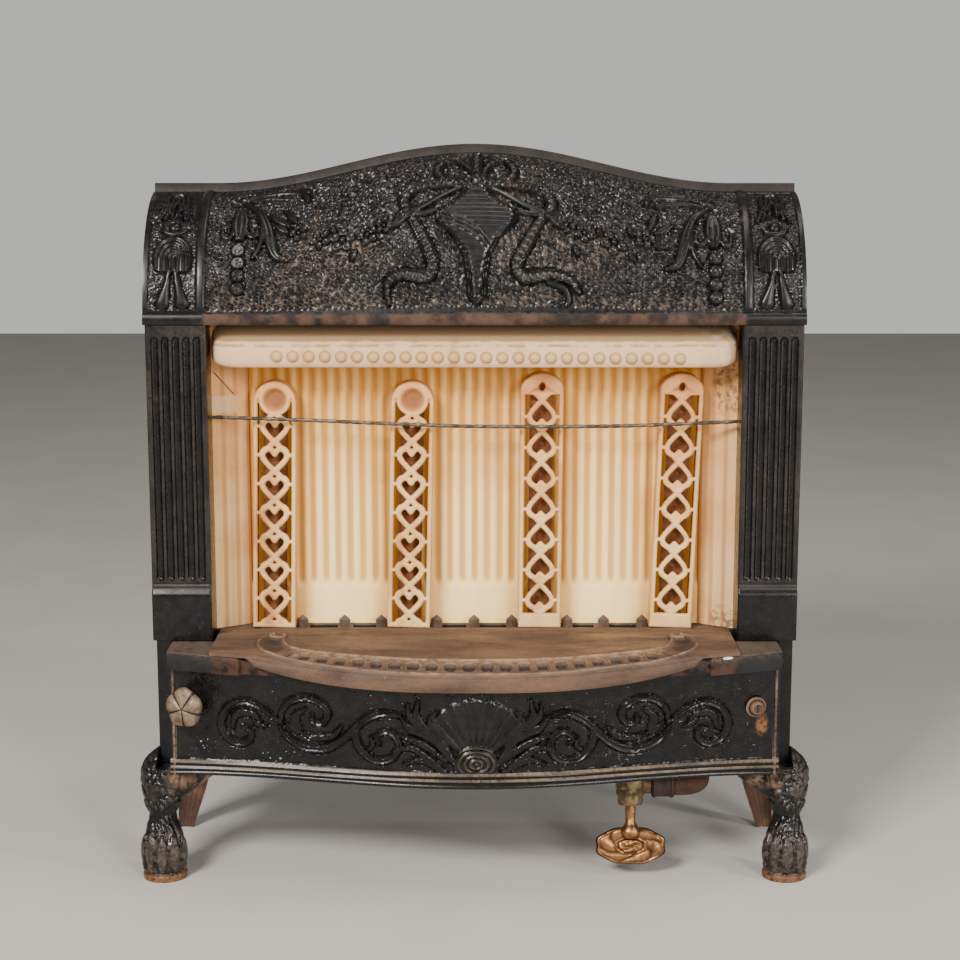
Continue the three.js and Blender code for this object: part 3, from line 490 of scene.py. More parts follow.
def iron_paint(name, low, high, wear, rust, gloss, bare=WORN, extra=None):
    """Black paint over cast iron: worn brown where the tone is high, with rust blooms, dust and specks"""
    paint = Paint(name, coat_weight=0.08, coat_roughness=0.1)
    paint.shader.inputs["Specular IOR Level"].default_value = 0.28
    patch = paint.noise(42, 4, 0.6).ramp(0.34, 0.64)
    speck = paint.noise(2.4, 3, 0.7).ramp(0.25, 0.6)
    blotch = paint.noise(11, 4, 0.65)
    worn = paint.rise.ramp(low, high) * (0.42 + 0.58 * patch) * (0.3 + 0.7 * speck) * wear
    paint.color = paint.mix(blotch.ramp(0.35, 0.7), SOOT, BLACK)
    paint.over(worn.ramp(0.0, 1.0), bare)
    bloom = paint.noise(55, 5, 0.7).ramp(0.56, 0.76) * paint.noise(6, 4, 0.7).ramp(0.42, 0.72) * rust
    paint.over(bloom, PALE_RUST)
    if extra:
        bloom = bloom + extra(paint)
    paint.over(paint.noise(1.2, 1, 0.5).ramp(0.75, 0.79) * 0.6, DUST)
    rough = gloss + worn * 0.4 + bloom * 0.45 + paint.noise(5, 3).ramp(0.3, 0.8) * 0.16
    return paint.done(rough, paint.noise(0.9, 4, 0.7) * 0.5 + blotch * 0.6)


def hood_marks(paint):
    """Rusty lower half of the front band, a matt crest rim, two silvery discs and sandy patches"""
    band = (paint.z + paint.noise(7, 4, 0.65) * 9.0).ramp(498.5, 496.0) * paint.away.ramp(231.0, 227.0) \
        * paint.noise(30, 3, 0.6, (1, 0.2, 0.2)).ramp(0.3, 0.42)
    rust = paint.mix(paint.noise(14, 4).ramp(0.35, 0.65), (0.02, 0.012, 0.01), (0.085, 0.046, 0.03))
    paint.over(band * 0.95, rust)
    rim = paint.y.ramp(64.6, 65.6) * 0.8
    matt = paint.mix(paint.noise(20, 4).ramp(0.4, 0.6), (0.011, 0.009, 0.008), (0.024, 0.017, 0.014))
    paint.over(rim, matt)
    silver = (paint.spot(-200.5, 545.0, 5.0, 4.2, 0.12) + paint.spot(-200.5, 534.6, 5.0, 4.2, 0.12)) * 0.8
    paint.over(silver * paint.noise(2.0, 2).ramp(0.42, 0.52), (0.1, 0.105, 0.1))
    sandy = paint.spot(-160.0, 500.0, 66.0, 20.0, 0.5) + paint.spot(-118.0, 540.0, 42.0, 16.0, 0.5) \
        + paint.spot(72.0, 545.0, 60.0, 26.0, 0.5) * 0.7 + paint.spot(60.0, 500.0, 150.0, 9.0, 0.4) * 0.8
    sandy = sandy.ramp(0.0, 1.0) * paint.rise.ramp(-1.6, -0.6) * paint.noise(9, 4).ramp(0.4, 0.6)
    paint.over(sandy * 0.55, (0.13, 0.085, 0.055))
    return band + rim * 0.6


def apron_marks(paint):
    """Rust under the plate's corners and below the stud, dust on the ledge, one white chip"""
    shelf = paint.z.ramp(192.4, 193.4)
    ledge = shelf * paint.away.ramp(228.0, 214.0) * paint.noise(12, 4).ramp(0.38, 0.56)
    paint.over(ledge * 0.7, (0.08, 0.032, 0.02))
    paint.over(paint.spot(246.5, 143.0, 5.0, 9.0) * paint.noise(4, 3).ramp(0.3, 0.55) * 0.9,
               (0.2, 0.085, 0.03))
    top = paint.z.ramp(207.6, 208.1) * 0.75
    paint.over(top * paint.noise(8, 4).ramp(0.2, 0.6), (0.1, 0.072, 0.055))
    ends = shelf * (1.0 - paint.z.ramp(207.2, 207.8)) * paint.away.ramp(216.0, 228.0)
    paint.over(ends * paint.noise(16, 4).ramp(0.3, 0.6) * 0.8, (0.015, 0.016, 0.02))
    paint.over(paint.spot(213.5, 207.2, 4.2, 1.0, 0.2), (0.8, 0.8, 0.76))
    return ledge * 0.5 + top


def foot_marks(paint):
    """Orange rust round the base, tan on the bracket's top that is rust with a painted highlight, worn toes
    """
    base = (paint.z + paint.noise(6, 3) * 5.0).ramp(11.0, 6.0) * 0.9
    paint.over(base * paint.noise(4, 4).ramp(0.3, 0.55), (0.21, 0.09, 0.035))
    paw = paint.z.ramp(50.0, 38.0) * paint.noise(5, 4, 0.7).ramp(0.45, 0.62) * 0.75
    paint.over(paw * 0.65, (0.13, 0.095, 0.072))
    # tan on the top of the bracket: rust, with a painted highlight where the top catches the light
    bracket_rust_and_highlight = paint.away.ramp(270.0, 258.0) * paint.z.ramp(74.0, 88.0) * paint.noise(9, 4).ramp(0.36, 0.54) * 0.9
    paint.over(bracket_rust_and_highlight, (0.27, 0.16, 0.095))
    return base * 0.6 + paw * 0.5 + bracket_rust_and_highlight * 0.6


def rust_paint(name, first, second, dark=(0.022, 0.012, 0.009), grain=1.0, extra=None):
    """Rusted bare iron, lighter on what stands proud (rubbed rust and a painted highlight) and with painted
    shade in the hollows
    """
    paint = Paint(name)
    drawn = (grain, 1, 1)
    paint.color = paint.mix(paint.noise(20, 5, 0.65, drawn).ramp(0.3, 0.7), first, second)
    paint.over(paint.noise(5, 5, 0.7, drawn).ramp(0.52, 0.78) * 0.7, dark)
    # lighter tan where the rise is high: rubbed rust and a painted highlight on the raised parts
    paint.over(paint.rise.ramp(0.2, 2.4) * paint.noise(9, 4, 0.7).ramp(0.3, 0.62) * 0.8, (0.36, 0.23, 0.135))
    paint.over(paint.noise(38, 4, 0.6, drawn).ramp(0.56, 0.74) * 0.5, (0.3, 0.17, 0.075))
    paint.over(paint.noise(1.6, 3, 0.7).ramp(0.6, 0.72) * 0.4, (0.36, 0.24, 0.16))
    # painted shade: dark where the rise is low, in the hollows; the same dark colour also paints the random
    # mottling above
    paint.over(paint.rise.ramp(-0.3, -1.9), dark)
    if extra:
        extra(paint)
    height = paint.noise(1.4, 5, 0.75) + paint.noise(12, 4, 0.6, drawn) * 1.5
    return paint.done(paint.noise(9, 3).ramp(0.2, 0.8, 0.6, 0.9), height, 0.7, 0.0007)


def burner_marks(paint):
    """Near black below a height just under the burner's top, down in the slots"""
    paint.over(paint.z.ramp(210.7, 209.6), (0.002, 0.0018, 0.0016))


def clay_paint(name, pale, deep, stain, hollow=(0.16, 0.04, 0.016), warmth=1.0, glow=0.0, extra=None):
    """Matt fire clay with upright rust streaks, sooty specks and red-brown hollows that are painted shade;
    where glow is set, a painted glow with emission, strongest low in the middle between the radiants
    """
    paint = Paint(name)
    streak = paint.noise(24, 4, 0.6, (1, 1, 0.1)).ramp(0.48, 0.7)
    cloud = paint.noise(60, 4, 0.6).ramp(0.36, 0.68)
    height = paint.z.ramp(260.0, 440.0)
    paint.color = paint.mix((cloud * 0.6 + height * 0.6).ramp(0.0, 1.0) * warmth, pale, deep)
    paint.over(streak * (0.25 + 0.75 * cloud) * 0.75 * warmth, stain)
    if glow:
        # painted glow: paler, yellower clay and emission strongest low between the radiants, though the
        # heater is not lit
        painted_bay_glow = paint.wave(paint.x + 0.7, BAY_WIDTH).ramp(-0.55, 0.85) * paint.z.ramp(430.0, 270.0)
        paint.over(painted_bay_glow * 0.75, (1.0, 0.76, 0.38))
        paint.set(emission_strength=glow, emission_color=paint.mix(painted_bay_glow, (0.3, 0.12, 0.01), (1.0, 0.66, 0.17)))
    # painted shade: the lower the rise, the darker the clay, first towards the stain colour and then towards
    # the red-brown hollow colour; behind the radiants' hearts this is partly their own darker back clay
    paint.over(paint.rise.ramp(-0.3, -2.6) * 0.85, stain)
    paint.over(paint.rise.ramp(-2.8, -4.2), hollow)
    if extra:
        extra(paint)
    paint.over(paint.noise(1.3, 2, 0.6).ramp(0.7, 0.78) * 0.5, (0.3, 0.17, 0.08))
    return paint.done(0.8, paint.noise(1.2, 4, 0.7) + paint.noise(8, 3) * 0.5)


def cheek_marks(paint):
    """Painted shade in bands along the flutes, a pale repaired patch with a crack on the left, sooty stains
    on the right
    """
    # painted shade: darker orange bands at the pitch of the cheek's flutes
    paint.over(paint.wave(paint.away - 229.4, 10.3).ramp(0.1, 0.9) * 0.6, (0.5, 0.21, 0.06))
    ragged = paint.noise(5, 4, 0.6) * 4.0
    across, up = paint.x + ragged, paint.z + ragged
    patch = across.ramp(-203.0, -206.0) * up.ramp(403.0, 406.0) * up.ramp(421.0, 418.0)
    paint.over(patch * 0.45, (0.86, 0.68, 0.44))
    crack = paint.line(paint.z - 429.0 + (paint.x + 218.0) * 1.3, 1.3, 0.5) * paint.z.ramp(417.0, 420.0) \
        * paint.z.ramp(441.0, 438.0) * paint.x.ramp(-200.0, -204.0)
    paint.over(crack, (0.1, 0.05, 0.03))
    stain = paint.x.ramp(206.0, 212.0) * paint.noise(5, 4, 0.7).ramp(0.46, 0.58) \
        * (paint.z.ramp(396.0, 412.0) + paint.z.ramp(236.0, 222.0))
    paint.over(stain * 0.8, (0.16, 0.1, 0.06))


def radiant_marks(paint):
    """Orange stain over the heads of the two radiants on the right, and smoky mottling"""
    head = paint.x.ramp(20.0, 30.0) * paint.z.ramp(385.0, 432.0) * paint.noise(16, 4).ramp(0.25, 0.6)
    paint.over(head * 0.75, (0.5, 0.19, 0.07))
    paint.over(paint.noise(6, 4, 0.7).ramp(0.52, 0.72) * 0.35, (0.55, 0.25, 0.1))


def lintel_marks(paint):
    """Tan dirt on the sloping top, a golden tone on the beads (partly painted shading) with a painted dark
    ring of shade round each, a scratched line and a weathered end
    """
    paint.over((paint.z + paint.noise(9, 4) * 3.0).ramp(468.6, 470.6) * 0.85, (0.3, 0.18, 0.085))
    along = (paint.x - FIRST_BEAD[0]) / BEAD_PITCH + 0.5
    beside = (along - along.math("FLOOR", along) - 0.5) * BEAD_PITCH
    away = (beside ** 2.0 + (paint.z - FIRST_BEAD[2] + (paint.x - FIRST_BEAD[0]) * 0.00554) ** 2.0) ** 0.5
    row = paint.x.ramp(-176.0, -173.0) * paint.x.ramp(182.0, 179.0) * paint.y.ramp(3.0, 0.0)
    # golden tone on each bead, partly painted shading, then a painted dark ring of shade round the foot of
    # each bead
    paint.over(away.ramp(4.4, 3.4) * row * 0.7, (0.62, 0.38, 0.14))
    paint.over(paint.line(away - 4.8, 1.2, 0.3) * row * 0.75, (0.36, 0.17, 0.06))
    scratch = paint.line(paint.z - 465.8 + paint.noise(30, 3) * 2.0, 1.9, 0.5)
    paint.over(scratch * paint.noise(14, 4).ramp(0.38, 0.58) * 0.8, (0.36, 0.19, 0.07))
    paint.over(paint.x.ramp(176.0, 214.0) * paint.noise(8, 4).ramp(0.4, 0.6) * 0.6, (0.5, 0.4, 0.3))


def metal_paint(name, bright, dark, roughness, metallic=1.0, size=9):
    """Dull metal, tarnished in patches and in its hollows"""
    paint = Paint(name, metallic=metallic)
    tarnish = paint.noise(size, 5, 0.65).ramp(0.35, 0.7)
    paint.color = paint.mix(tarnish, bright, dark)
    paint.over(paint.rise.ramp(-0.2, -1.6), tuple(0.25 * c for c in dark))
    return paint.done(roughness + tarnish * 0.25, paint.noise(1.0, 4, 0.7), 0.25, 0.0003)


HOOD_PAINT = iron_paint("hood_paint", -1.15, 0.1, 1.0, 0.4, 0.28, (0.075, 0.056, 0.046), hood_marks)
APRON_PAINT = iron_paint("apron_paint", -1.3, 0.5, 0.95, 0.12, 0.24, (0.19, 0.13, 0.085), apron_marks)
PILASTER_PAINT = iron_paint("pilaster_paint", 0.3, 2.0, 0.6, 0.16, 0.24)
FOOT_PAINT = iron_paint("foot_paint", 0.2, 2.0, 0.6, 0.35, 0.18, extra=foot_marks)
PLATE_RUST = rust_paint("plate_rust", (0.05, 0.028, 0.019), (0.15, 0.083, 0.05), grain=0.25)
BURNER_RUST = rust_paint("burner_rust", (0.05, 0.03, 0.022), (0.15, 0.095, 0.07), extra=burner_marks)
LEG_RUST = rust_paint("leg_rust", (0.034, 0.014, 0.008), (0.1, 0.038, 0.015), (0.014, 0.007, 0.005))
STUD_RUST = rust_paint("stud_rust", (0.07, 0.036, 0.022), (0.15, 0.08, 0.045), (0.015, 0.008, 0.006))
FIREBACK_CLAY = clay_paint("fireback_clay", (0.93, 0.65, 0.25), (0.78, 0.45, 0.14), (0.42, 0.19, 0.035),
                           glow=0.55)
CHEEK_CLAY = clay_paint("cheek_clay", (0.88, 0.58, 0.27), (0.74, 0.39, 0.14), (0.46, 0.19, 0.05),
                        extra=cheek_marks)
LINTEL_CLAY = clay_paint("lintel_clay", (0.78, 0.56, 0.39), (0.72, 0.46, 0.26), (0.42, 0.21, 0.09),
                         warmth=0.9,
                         extra=lintel_marks)
RADIANT_CLAY = clay_paint("radiant_clay", (0.88, 0.6, 0.27), (0.74, 0.37, 0.14), (0.36, 0.12, 0.035),
                          (0.17, 0.052, 0.018), glow=0.08, extra=radiant_marks)
BRASS = metal_paint("key_brass", (0.46, 0.24, 0.105), (0.12, 0.055, 0.025), 0.3)
VALVE_BRASS = metal_paint("valve_brass", (0.3, 0.22, 0.12), (0.1, 0.075, 0.045), 0.5)
KNOB_METAL = metal_paint("knob_metal", (0.3, 0.22, 0.15), (0.12, 0.08, 0.055), 0.45, 0.6, 6)
WIRE_METAL = metal_paint("wire_metal", (0.2, 0.17, 0.13), (0.08, 0.065, 0.05), 0.55)
SHEET_METAL = metal_paint("sheet_iron", (0.09, 0.075, 0.062), (0.045, 0.032, 0.026), 0.6, 0.5, 40)
PIPE_METAL = metal_paint("pipe_iron", (0.085, 0.05, 0.045), (0.035, 0.022, 0.02), 0.55, 0.5, 14)


# Hood

def end_panel(relief, side):
    """Bell of nested arches, a boss over a curved bar, a ribbed cap and two flared stems"""
    mid = side * 255.5
    for foot, waist, head, top, low in ((14, 9, 7.5, 151, 103), (8.6, 5.6, 4.2, 143.5, 106),
                                        (3.4, 2.2, 1.4, 136, 110)):
        arch = [(mid + k * w, v, 1.7) for k, w, v in (
            (-1, foot, low), (-1, foot * 0.86, low + 5), (-1, waist, low + 18), (-1, head, top - 6),
            (0, 0, top),
            (1, head, top - 6), (1, waist, low + 18), (1, foot * 0.86, low + 5), (1, foot, low))]
        relief.strap(arch, bar(1.9), count=60)
    relief.disc(mid, 95.5, 4.6, lambda r, a: 2.3 * dome(r), stretch=1.2)
    relief.strap([(mid - 11, 93, 1.0), (mid - 5, 87.5, 2.4), (mid + 5, 87.5, 2.4), (mid + 11, 93, 1.0)],
                 bar(1.9))
    inside = relief.near(mid - 20, mid + 20, 44, 86)
    du, dv = np.abs(relief.u[inside] - mid), relief.v[inside]
    across = du / 17.0
    r = np.hypot(across, np.maximum(dv - 60, 0) / 25.0)
    curl = np.hypot((du - 9.5) / 7.5, (dv - 60) / 13.5)
    edge = np.where(dv > 60, r, np.where(du > 9.5, curl, du / 17.0 + 0.2))
    rib = 1.7 + 0.75 * np.cos(2 * math.pi * 4.6 * np.where(dv > 60, r, across))
    relief.lay(inside, rib, (1 - ease(edge, 0.96, 1.04)) * ease(dv, 46, 48))
    for turn in (-1, 1):
        relief.strap([(mid + turn * 2.4, 50, 1.5), (mid + turn * 4.6, 36, 2.6), (mid + turn * 8.4, 19, 5.4)],
                     bar(1.7))


def drop(relief, side, du=0.0, dv=0.0):
    """Ribbon knot with two strands, a bellflower pendant and four discs"""
    def at(*points):
        return [(side * (u + du), v + dv, w) for u, v, w in points]
    relief.strap(at((193, 137, 2.0), (178, 141, 3.4), (160, 140, 4.2), (147, 132, 3.6), (143, 120, 1.6)),
                 leaf(1.9))
    relief.strap(at((192, 131, 1.8), (176, 133, 2.6), (163, 128, 2.4), (152, 122, 1.4)), bar(1.3))
    relief.strap(at((196, 127, 2.2), (184, 112, 3.4), (177, 92, 4.4), (173, 74, 4.6), (168, 60, 3.4),
                    (158, 55, 1.4)), leaf(2.0))
    relief.strap(at((190, 122, 1.4), (181, 100, 2.0), (182, 74, 2.2), (188, 60, 1.2)), bar(1.4))
    relief.disc(side * (197 + du), 138 + dv, 6.0, ringed(2.0))
    for k, w in ((-1, 2.6), (0, 3.4), (1, 2.6)):
        relief.strap(at((199.5 + 2 * k, 116, 1.6), (199.5 + 4.2 * k, 104, w), (199.5 + 4.4 * k, 92, w),
                        (199.5 + 2.2 * k, 80, 1.4)), bar(2.1))
    for k in (-1, 1):
        relief.strap(at((199.5 + 5 * k, 90, 1.4), (199.5 + 9 * k, 82, 2.2), (199.5 + 14 * k, 84, 2.2),
                        (199.5 + 15 * k, 92, 1.4)), bar(1.5))
    for k in range(4):
        relief.disc(side * (200.5 + du), 68.5 - 12.2 * k + dv, 5.6, ringed(1.7))


def garland(relief):
    for u, v, r in ((-149, 80, 7.5), (-131, 71, 8), (-112, 68, 10.5), (-91, 69.5, 8.5), (-77, 76, 7),
                    (78, 77, 7.5), (93, 71.5, 8), (118, 67, 11), (144, 74, 9)):
        relief.disc(u, v, 1.12 * r, flower(2.4, 0.5 * u))
    for u0, v0, u1, v1, w in ((-176, 106, -155, 87, 3.4), (-163, 112, -150, 90, 2.8), (-170, 92, -158, 82, 3),
                              (-68, 80, -57, 90, 3.2), (-122, 82, -117, 74, 2.4), (-100, 58, -104, 50, 2.6),
                              (64, 90, 74, 81, 3), (104, 78, 108, 70, 2.6), (131, 82, 134, 74, 2.6),
                              (148, 82, 155, 104, 3.2), (152, 79, 170, 92, 3.2), (150, 71, 163, 66, 3),
                              (84, 60, 88, 52, 2.6), (131, 58, 136, 52, 2.6)):
        mid = ((u0 + u1) / 2, (v0 + v1) / 2, w)
        relief.strap([(u0, v0, 0.7), mid, (u1, v1, 0.8)], leaf(1.5))


def lyre(relief):
    """Shield with a double border, fine lines across and a slanting sash"""
    ups = (12.8, 19.6, 35.0, 49.0, 62.0, 74.0, 80.0, 86.0, 88.0, 95.0, 109.0)
    widths = (1.0, 8.0, 9.3, 12.2, 20.5, 33.0, 36.0, 34.0, 28.0, 17.0, 9.5)
    inside = relief.near(-40, 44, 11, 112)
    u, v = relief.u[inside] - 2.0, relief.v[inside]
    edge = np.interp(v, ups, widths, left=0.5, right=0.5)
    off = edge - np.abs(u)
    lines = 0.9 + 0.32 * np.cos(2 * math.pi * v / 3.7)
    border = 2.2 * np.exp(-((off - 1.6) / 1.3) ** 2) + 1.7 * np.exp(-((off - 5.2) / 1.0) ** 2)
    sunk = 0.5 * np.exp(-((off - 3.4) / 0.8) ** 2)
    height = np.maximum(lines * ease(off, 4.5, 6.5), border) - sunk
    relief.lay(inside, height, ease(off, -0.7, 0.5))
    for k, rise in ((-3.6, 1.9), (0, 2.3), (3.6, 1.9)):
        relief.strap([(-31, 80 + k, 1.2), (-16, 75.5 + k, 1.5), (1, 67 + k, 1.5), (13, 55.5 + k, 1.2)],
                     bar(rise))


def emblem(relief):
    lyre(relief)
    for path in ([(1, 119, 2.4), (-7, 134, 3.2), (-20, 145, 3.6), (-31.5, 133, 3.8), (-25, 115.5, 3.4),
                  (-6, 114, 2.4)],
                 [(7, 119, 2.4), (13, 136, 3.2), (25, 146, 3.6), (34, 130, 3.8), (27, 114.5, 3.4),
                  (9.7, 113, 2.4)],
                 [(-4, 109, 3.2), (-29.5, 111.5, 4.4), (-50, 109, 4.8), (-60, 99, 4.8), (-57.5, 86, 4.0)],
                 [(8, 109.5, 3.2), (30, 110, 4.4), (55, 107.5, 4.8), (65, 97, 4.8), (62.5, 84, 4.0)]):
        relief.strap(path, rope(2.3))
    for side, end, tip in ((-1, -57.5, -33), (1, 62.5, 37)):
        relief.strap([(end, 85, 2.6), (side * 44, 90, 2.4), (side * 26, 100, 2.2), (side * 9, 108, 1.8)],
                     bar(1.6))
        relief.strap([(end, 84, 3.0), (end + side * 9, 77, 3.0), (end + side * 17, 73, 1.0)], leaf(1.6))
        relief.strap([(tip, 86, 2.0), (side * 46, 83, 2.6), (end, 85, 2.4)], bar(1.2))
    relief.strap([(-53, 80, 3.4), (-43, 62, 4.6), (-37, 49, 4.8), (-35, 40, 4.6), (-42, 33.5, 4.6),
                  (-61, 36, 4.2), (-73, 30, 3.4), (-72, 16, 2.0)], rope(2.2), count=90)
    relief.strap([(57, 80, 3.4), (47, 62, 4.6), (39, 49, 4.8), (36, 40, 4.6), (43, 33, 4.6),
                  (64, 36, 4.2), (80, 33, 3.4), (88, 24, 2.0)], rope(2.2), count=90)
    relief.strap([(62, 30, 1.6), (76, 26, 2.6), (79, 16, 2.2), (71, 11, 1.2)], bar(1.7))
    relief.strap([(2, 112, 5.0), (2, 131, 4.6), (2, 152, 5.0)], rope(2.9, 7.0))
    relief.strap([(-6, 118, 1.4), (2, 113, 2.0), (10, 118, 1.4)], bar(2.9))


def build_hood():
    xs = np.linspace(-HOOD_HALF, HOOD_HALF, 547)
    ups = np.linspace(11.0, 171.0, 156)
    x, up = np.meshgrid(xs, ups, indexing="ij")
    away = np.abs(x)
    slant = up + 0.35 * x + 5 * value_noise(x, up, 13, 8)
    pits = pebbles(x, 1.3 * slant, 5.4, 11) ** 1.5
    ground = -0.35 - pits * (1.9 - 0.7 * value_noise(x, up, 12, 5)) + 0.5 * (value_noise(x, up, 3.6, 6) - 0.5)
    relief = Relief(x, up, np.where(away > 236, pebbles(x, up, 3.0, 23) * 0.9 - 1.6, ground))
    emblem(relief)
    garland(relief)
    for side, du, dv in ((-1, 0.0, 0.0), (1, 3.5, -8.0)):
        drop(relief, side, du, dv)
        end_panel(relief, side)
    on_rib = ease(away, 226.5, 228.5) * (1 - ease(away, 235.4, 236.8))
    wide = ease(away, 275.4, 276.6)
    border = np.maximum(wide, ease(away, 237.6, 237.0) * (away > 236.8))
    frame_up = np.maximum(ease(up, 163.5, 165.5), 1 - ease(up, 12.5, 14.5))
    centre_top, foot = ease(up, 165.0, 167.0), 1 - ease(up, 11.5, 14.0)
    h = blend(relief.h, on_rib, 1.2 * (1 - np.clip(np.abs(away - 231.4) / 4.4, 0, 1) ** 4))
    h = np.where(away > 236.8, blend(h, np.maximum(frame_up, wide), 0.1), h)
    h = blend(h, border * 0.6, 0.1)
    h = blend(np.where(away < 227, blend(h, centre_top, -0.2), h), foot, -0.4)
    h[0], h[-1] = 0.0, 0.0
    top = crest(xs)
    front = [strip(xs, y, HOOD_BOTTOM + z)
             for y, z in ((-1.2, 0), (-2.0, 1), (-2.4, 4), (-2.0, 8), (-0.9, 9.4))]
    rim = [strip(xs, y, top + z) for y, z in (
        (85.4, -RIM_HEIGHT - 0.4), (85.8, 0.6 - RIM_HEIGHT), (86.0, -0.8), (86.8, 0), (90.0, 0), (90.0, -12))]
    inside = [hood_surface(xs, np.full_like(xs, u), -WALL)[:, None] for u in (150, 120, 90, 60, 30)]
    rings = np.concatenate(front + [hood_surface(x, up, h)] + rim + inside + [strip(xs, WALL, HOOD_BOTTOM)],
                           1)
    rise = np.full(rings.shape[:2], -1.9)
    plain = 1 - (1 - on_rib) * (1 - border) * (1 - centre_top) * (1 - foot)
    rise[:, len(front):len(front) + len(ups)] = blend(relief.tone, plain, -1.8)
    body = Body().rings(rings, rise)
    for side in (-1, 1):
        plate = []
        for x0 in (side * (HOOD_HALF - 0.05), side * (HOOD_HALF - WALL)):
            curve = hood_surface(np.full(24, x0), np.linspace(0, 160, 24), -WALL + 0.6)
            closing = [[x0, HOOD_DEPTH, crest(x0) - RIM_HEIGHT - WALL], [x0, HOOD_DEPTH, HOOD_BOTTOM + 0.2],
                       [x0, WALL, HOOD_BOTTOM + 0.2]]
            plate.append(np.vstack((curve, closing)))
        body.rings(plate)
    body.piece("hood_casting", HOOD_PAINT, "hood")


# Pilasters

def build_pilaster(name, side):
    xs = np.linspace(-PILASTER_OUTER, -PILASTER_INNER, 70)
    zs = np.concatenate((np.linspace(PLINTH_BOTTOM, PLINTH_TOP, 14), np.linspace(PLINTH_TOP + 1, 258, 8),
                         np.linspace(259.5, 476, 150), np.linspace(477.5, 482.6, 5)))
    x, z = np.meshgrid(xs, zs, indexing="xy")
    flutes = np.zeros_like(x)
    for i in range(-2, 3):
        middle = -(PILASTER_OUTER + PILASTER_INNER) / 2 + 9.0 * i
        t = np.hypot(x - middle, np.maximum(np.maximum(264.5 - z, z - 469.5), 0)) / 3.1
        flutes = np.maximum(flutes, 2.5 * dome(np.clip(t, 0, 1)))
    block = 1 - ease(z, PLINTH_TOP - 0.5, SHAFT_BOTTOM)
    edge = np.minimum(x + PILASTER_OUTER, -PILASTER_INNER - x)
    depth = flutes - 2.8 * block + 0.7 * ridge(z, 258.2, 0.8) - 0.5 * ridge(z, 213, 2) \
        + 1.1 * (1 - ease(edge, 0, 1.4)) ** 2 + 0.25 * (value_noise(x, z, 14, 31) - 0.5)
    back = ((-PILASTER_INNER, 29.6), (-PILASTER_INNER - 4, 29.6), (-PILASTER_INNER - 4, 6.5),
            (-PILASTER_OUTER + 4, 6.5), (-PILASTER_OUTER + 4, 60), (-PILASTER_OUTER, 60))
    rings = np.concatenate([xyz(x, depth, z)] + [strip(px, py, zs) for px, py in back], 1)
    rise = np.zeros(rings.shape[:2])
    rise[:, :len(xs)] = 1.2 - 1.3 * block - flutes * 1.6
    body = Body().rings(rings, rise)
    for x1, y1, shift in ((-264.0, 4.0, 0.0), (-272.4, 60.0, 0.02)):
        ring = ((-275.8, 0), (x1, 0), (x1, y1), (-276.4, y1), (-276.4, 0.6))
        body.rings([[(px, py + shift, z) for px, py in ring] for z in (98.0, 150.0, 211.0)])
    body.piece(name + "_casting", PILASTER_PAINT, name, side=side)


# Hearth plate and apron

def plate_relief(x, y):
    """Height added to the plate's top: a crescent channel with dimples, ending in two rounded dishes"""
    left = [(-171, -3, 7.0), (-175, -14, 10.5), (-173, -30, 12.8), (-164, -45, 13.2), (-148, -54, 13.0),
            (-124, -59.5, 12.8), (-80, -65.5, 12.8), (-40, -68, 12.8)]
    right = [(-u + 5 * (u < -140), v, w) for u, v, w in left[::-1]]
    relief = Relief(x, y, np.zeros_like(x))

    def channel(t, s, length):
        ends = np.minimum(s, length - s)
        band = ease(ends, 44, 62)
        border = ridge(t, -0.9, 0.1) + (1 - 0.4 * band) * ridge(t, 0.9, 0.12)
        beside = np.abs((s - length / 2 - 0.5) % 15.5 - 7.75)
        dimple = np.exp(-(beside / 4.3) ** 4 - ((t + 0.08) / 0.42) ** 4) * band
        arch = ridge(np.hypot(beside / 6.0, (t + 0.08) / 0.6), 1, 0.2) * band
        grit = (pebbles(s, t * 12, 2.3, 41) - 0.4) * ease(ends, 24, 44) * (np.abs(t) < 0.8)
        dish = 1.8 * dome(t) * (1 - ease(ends, 34, 52))
        return 0.6 + 2.4 * border + arch - 3.6 * dimple + grit + 1.2 * t * band - dish
    relief.strap(left + [(0, -68.5, 12.8)] + right, channel, fade=1.16, count=220)
    for tip in (-171, 176):
        relief.disc(tip, -3, 7.4, lambda r, a: 0.4 + 2.6 * ridge(r, 0.85, 0.2) - 1.4 * (r < 0.7), 1.1)
    groove = 0.7 * ridge(y, 22, 1.2) - 0.5 * ridge(y, 18.5, 1.0)
    return relief.h + groove + 0.5 * (value_noise(x, y * 3, 16, 43) - 0.5)


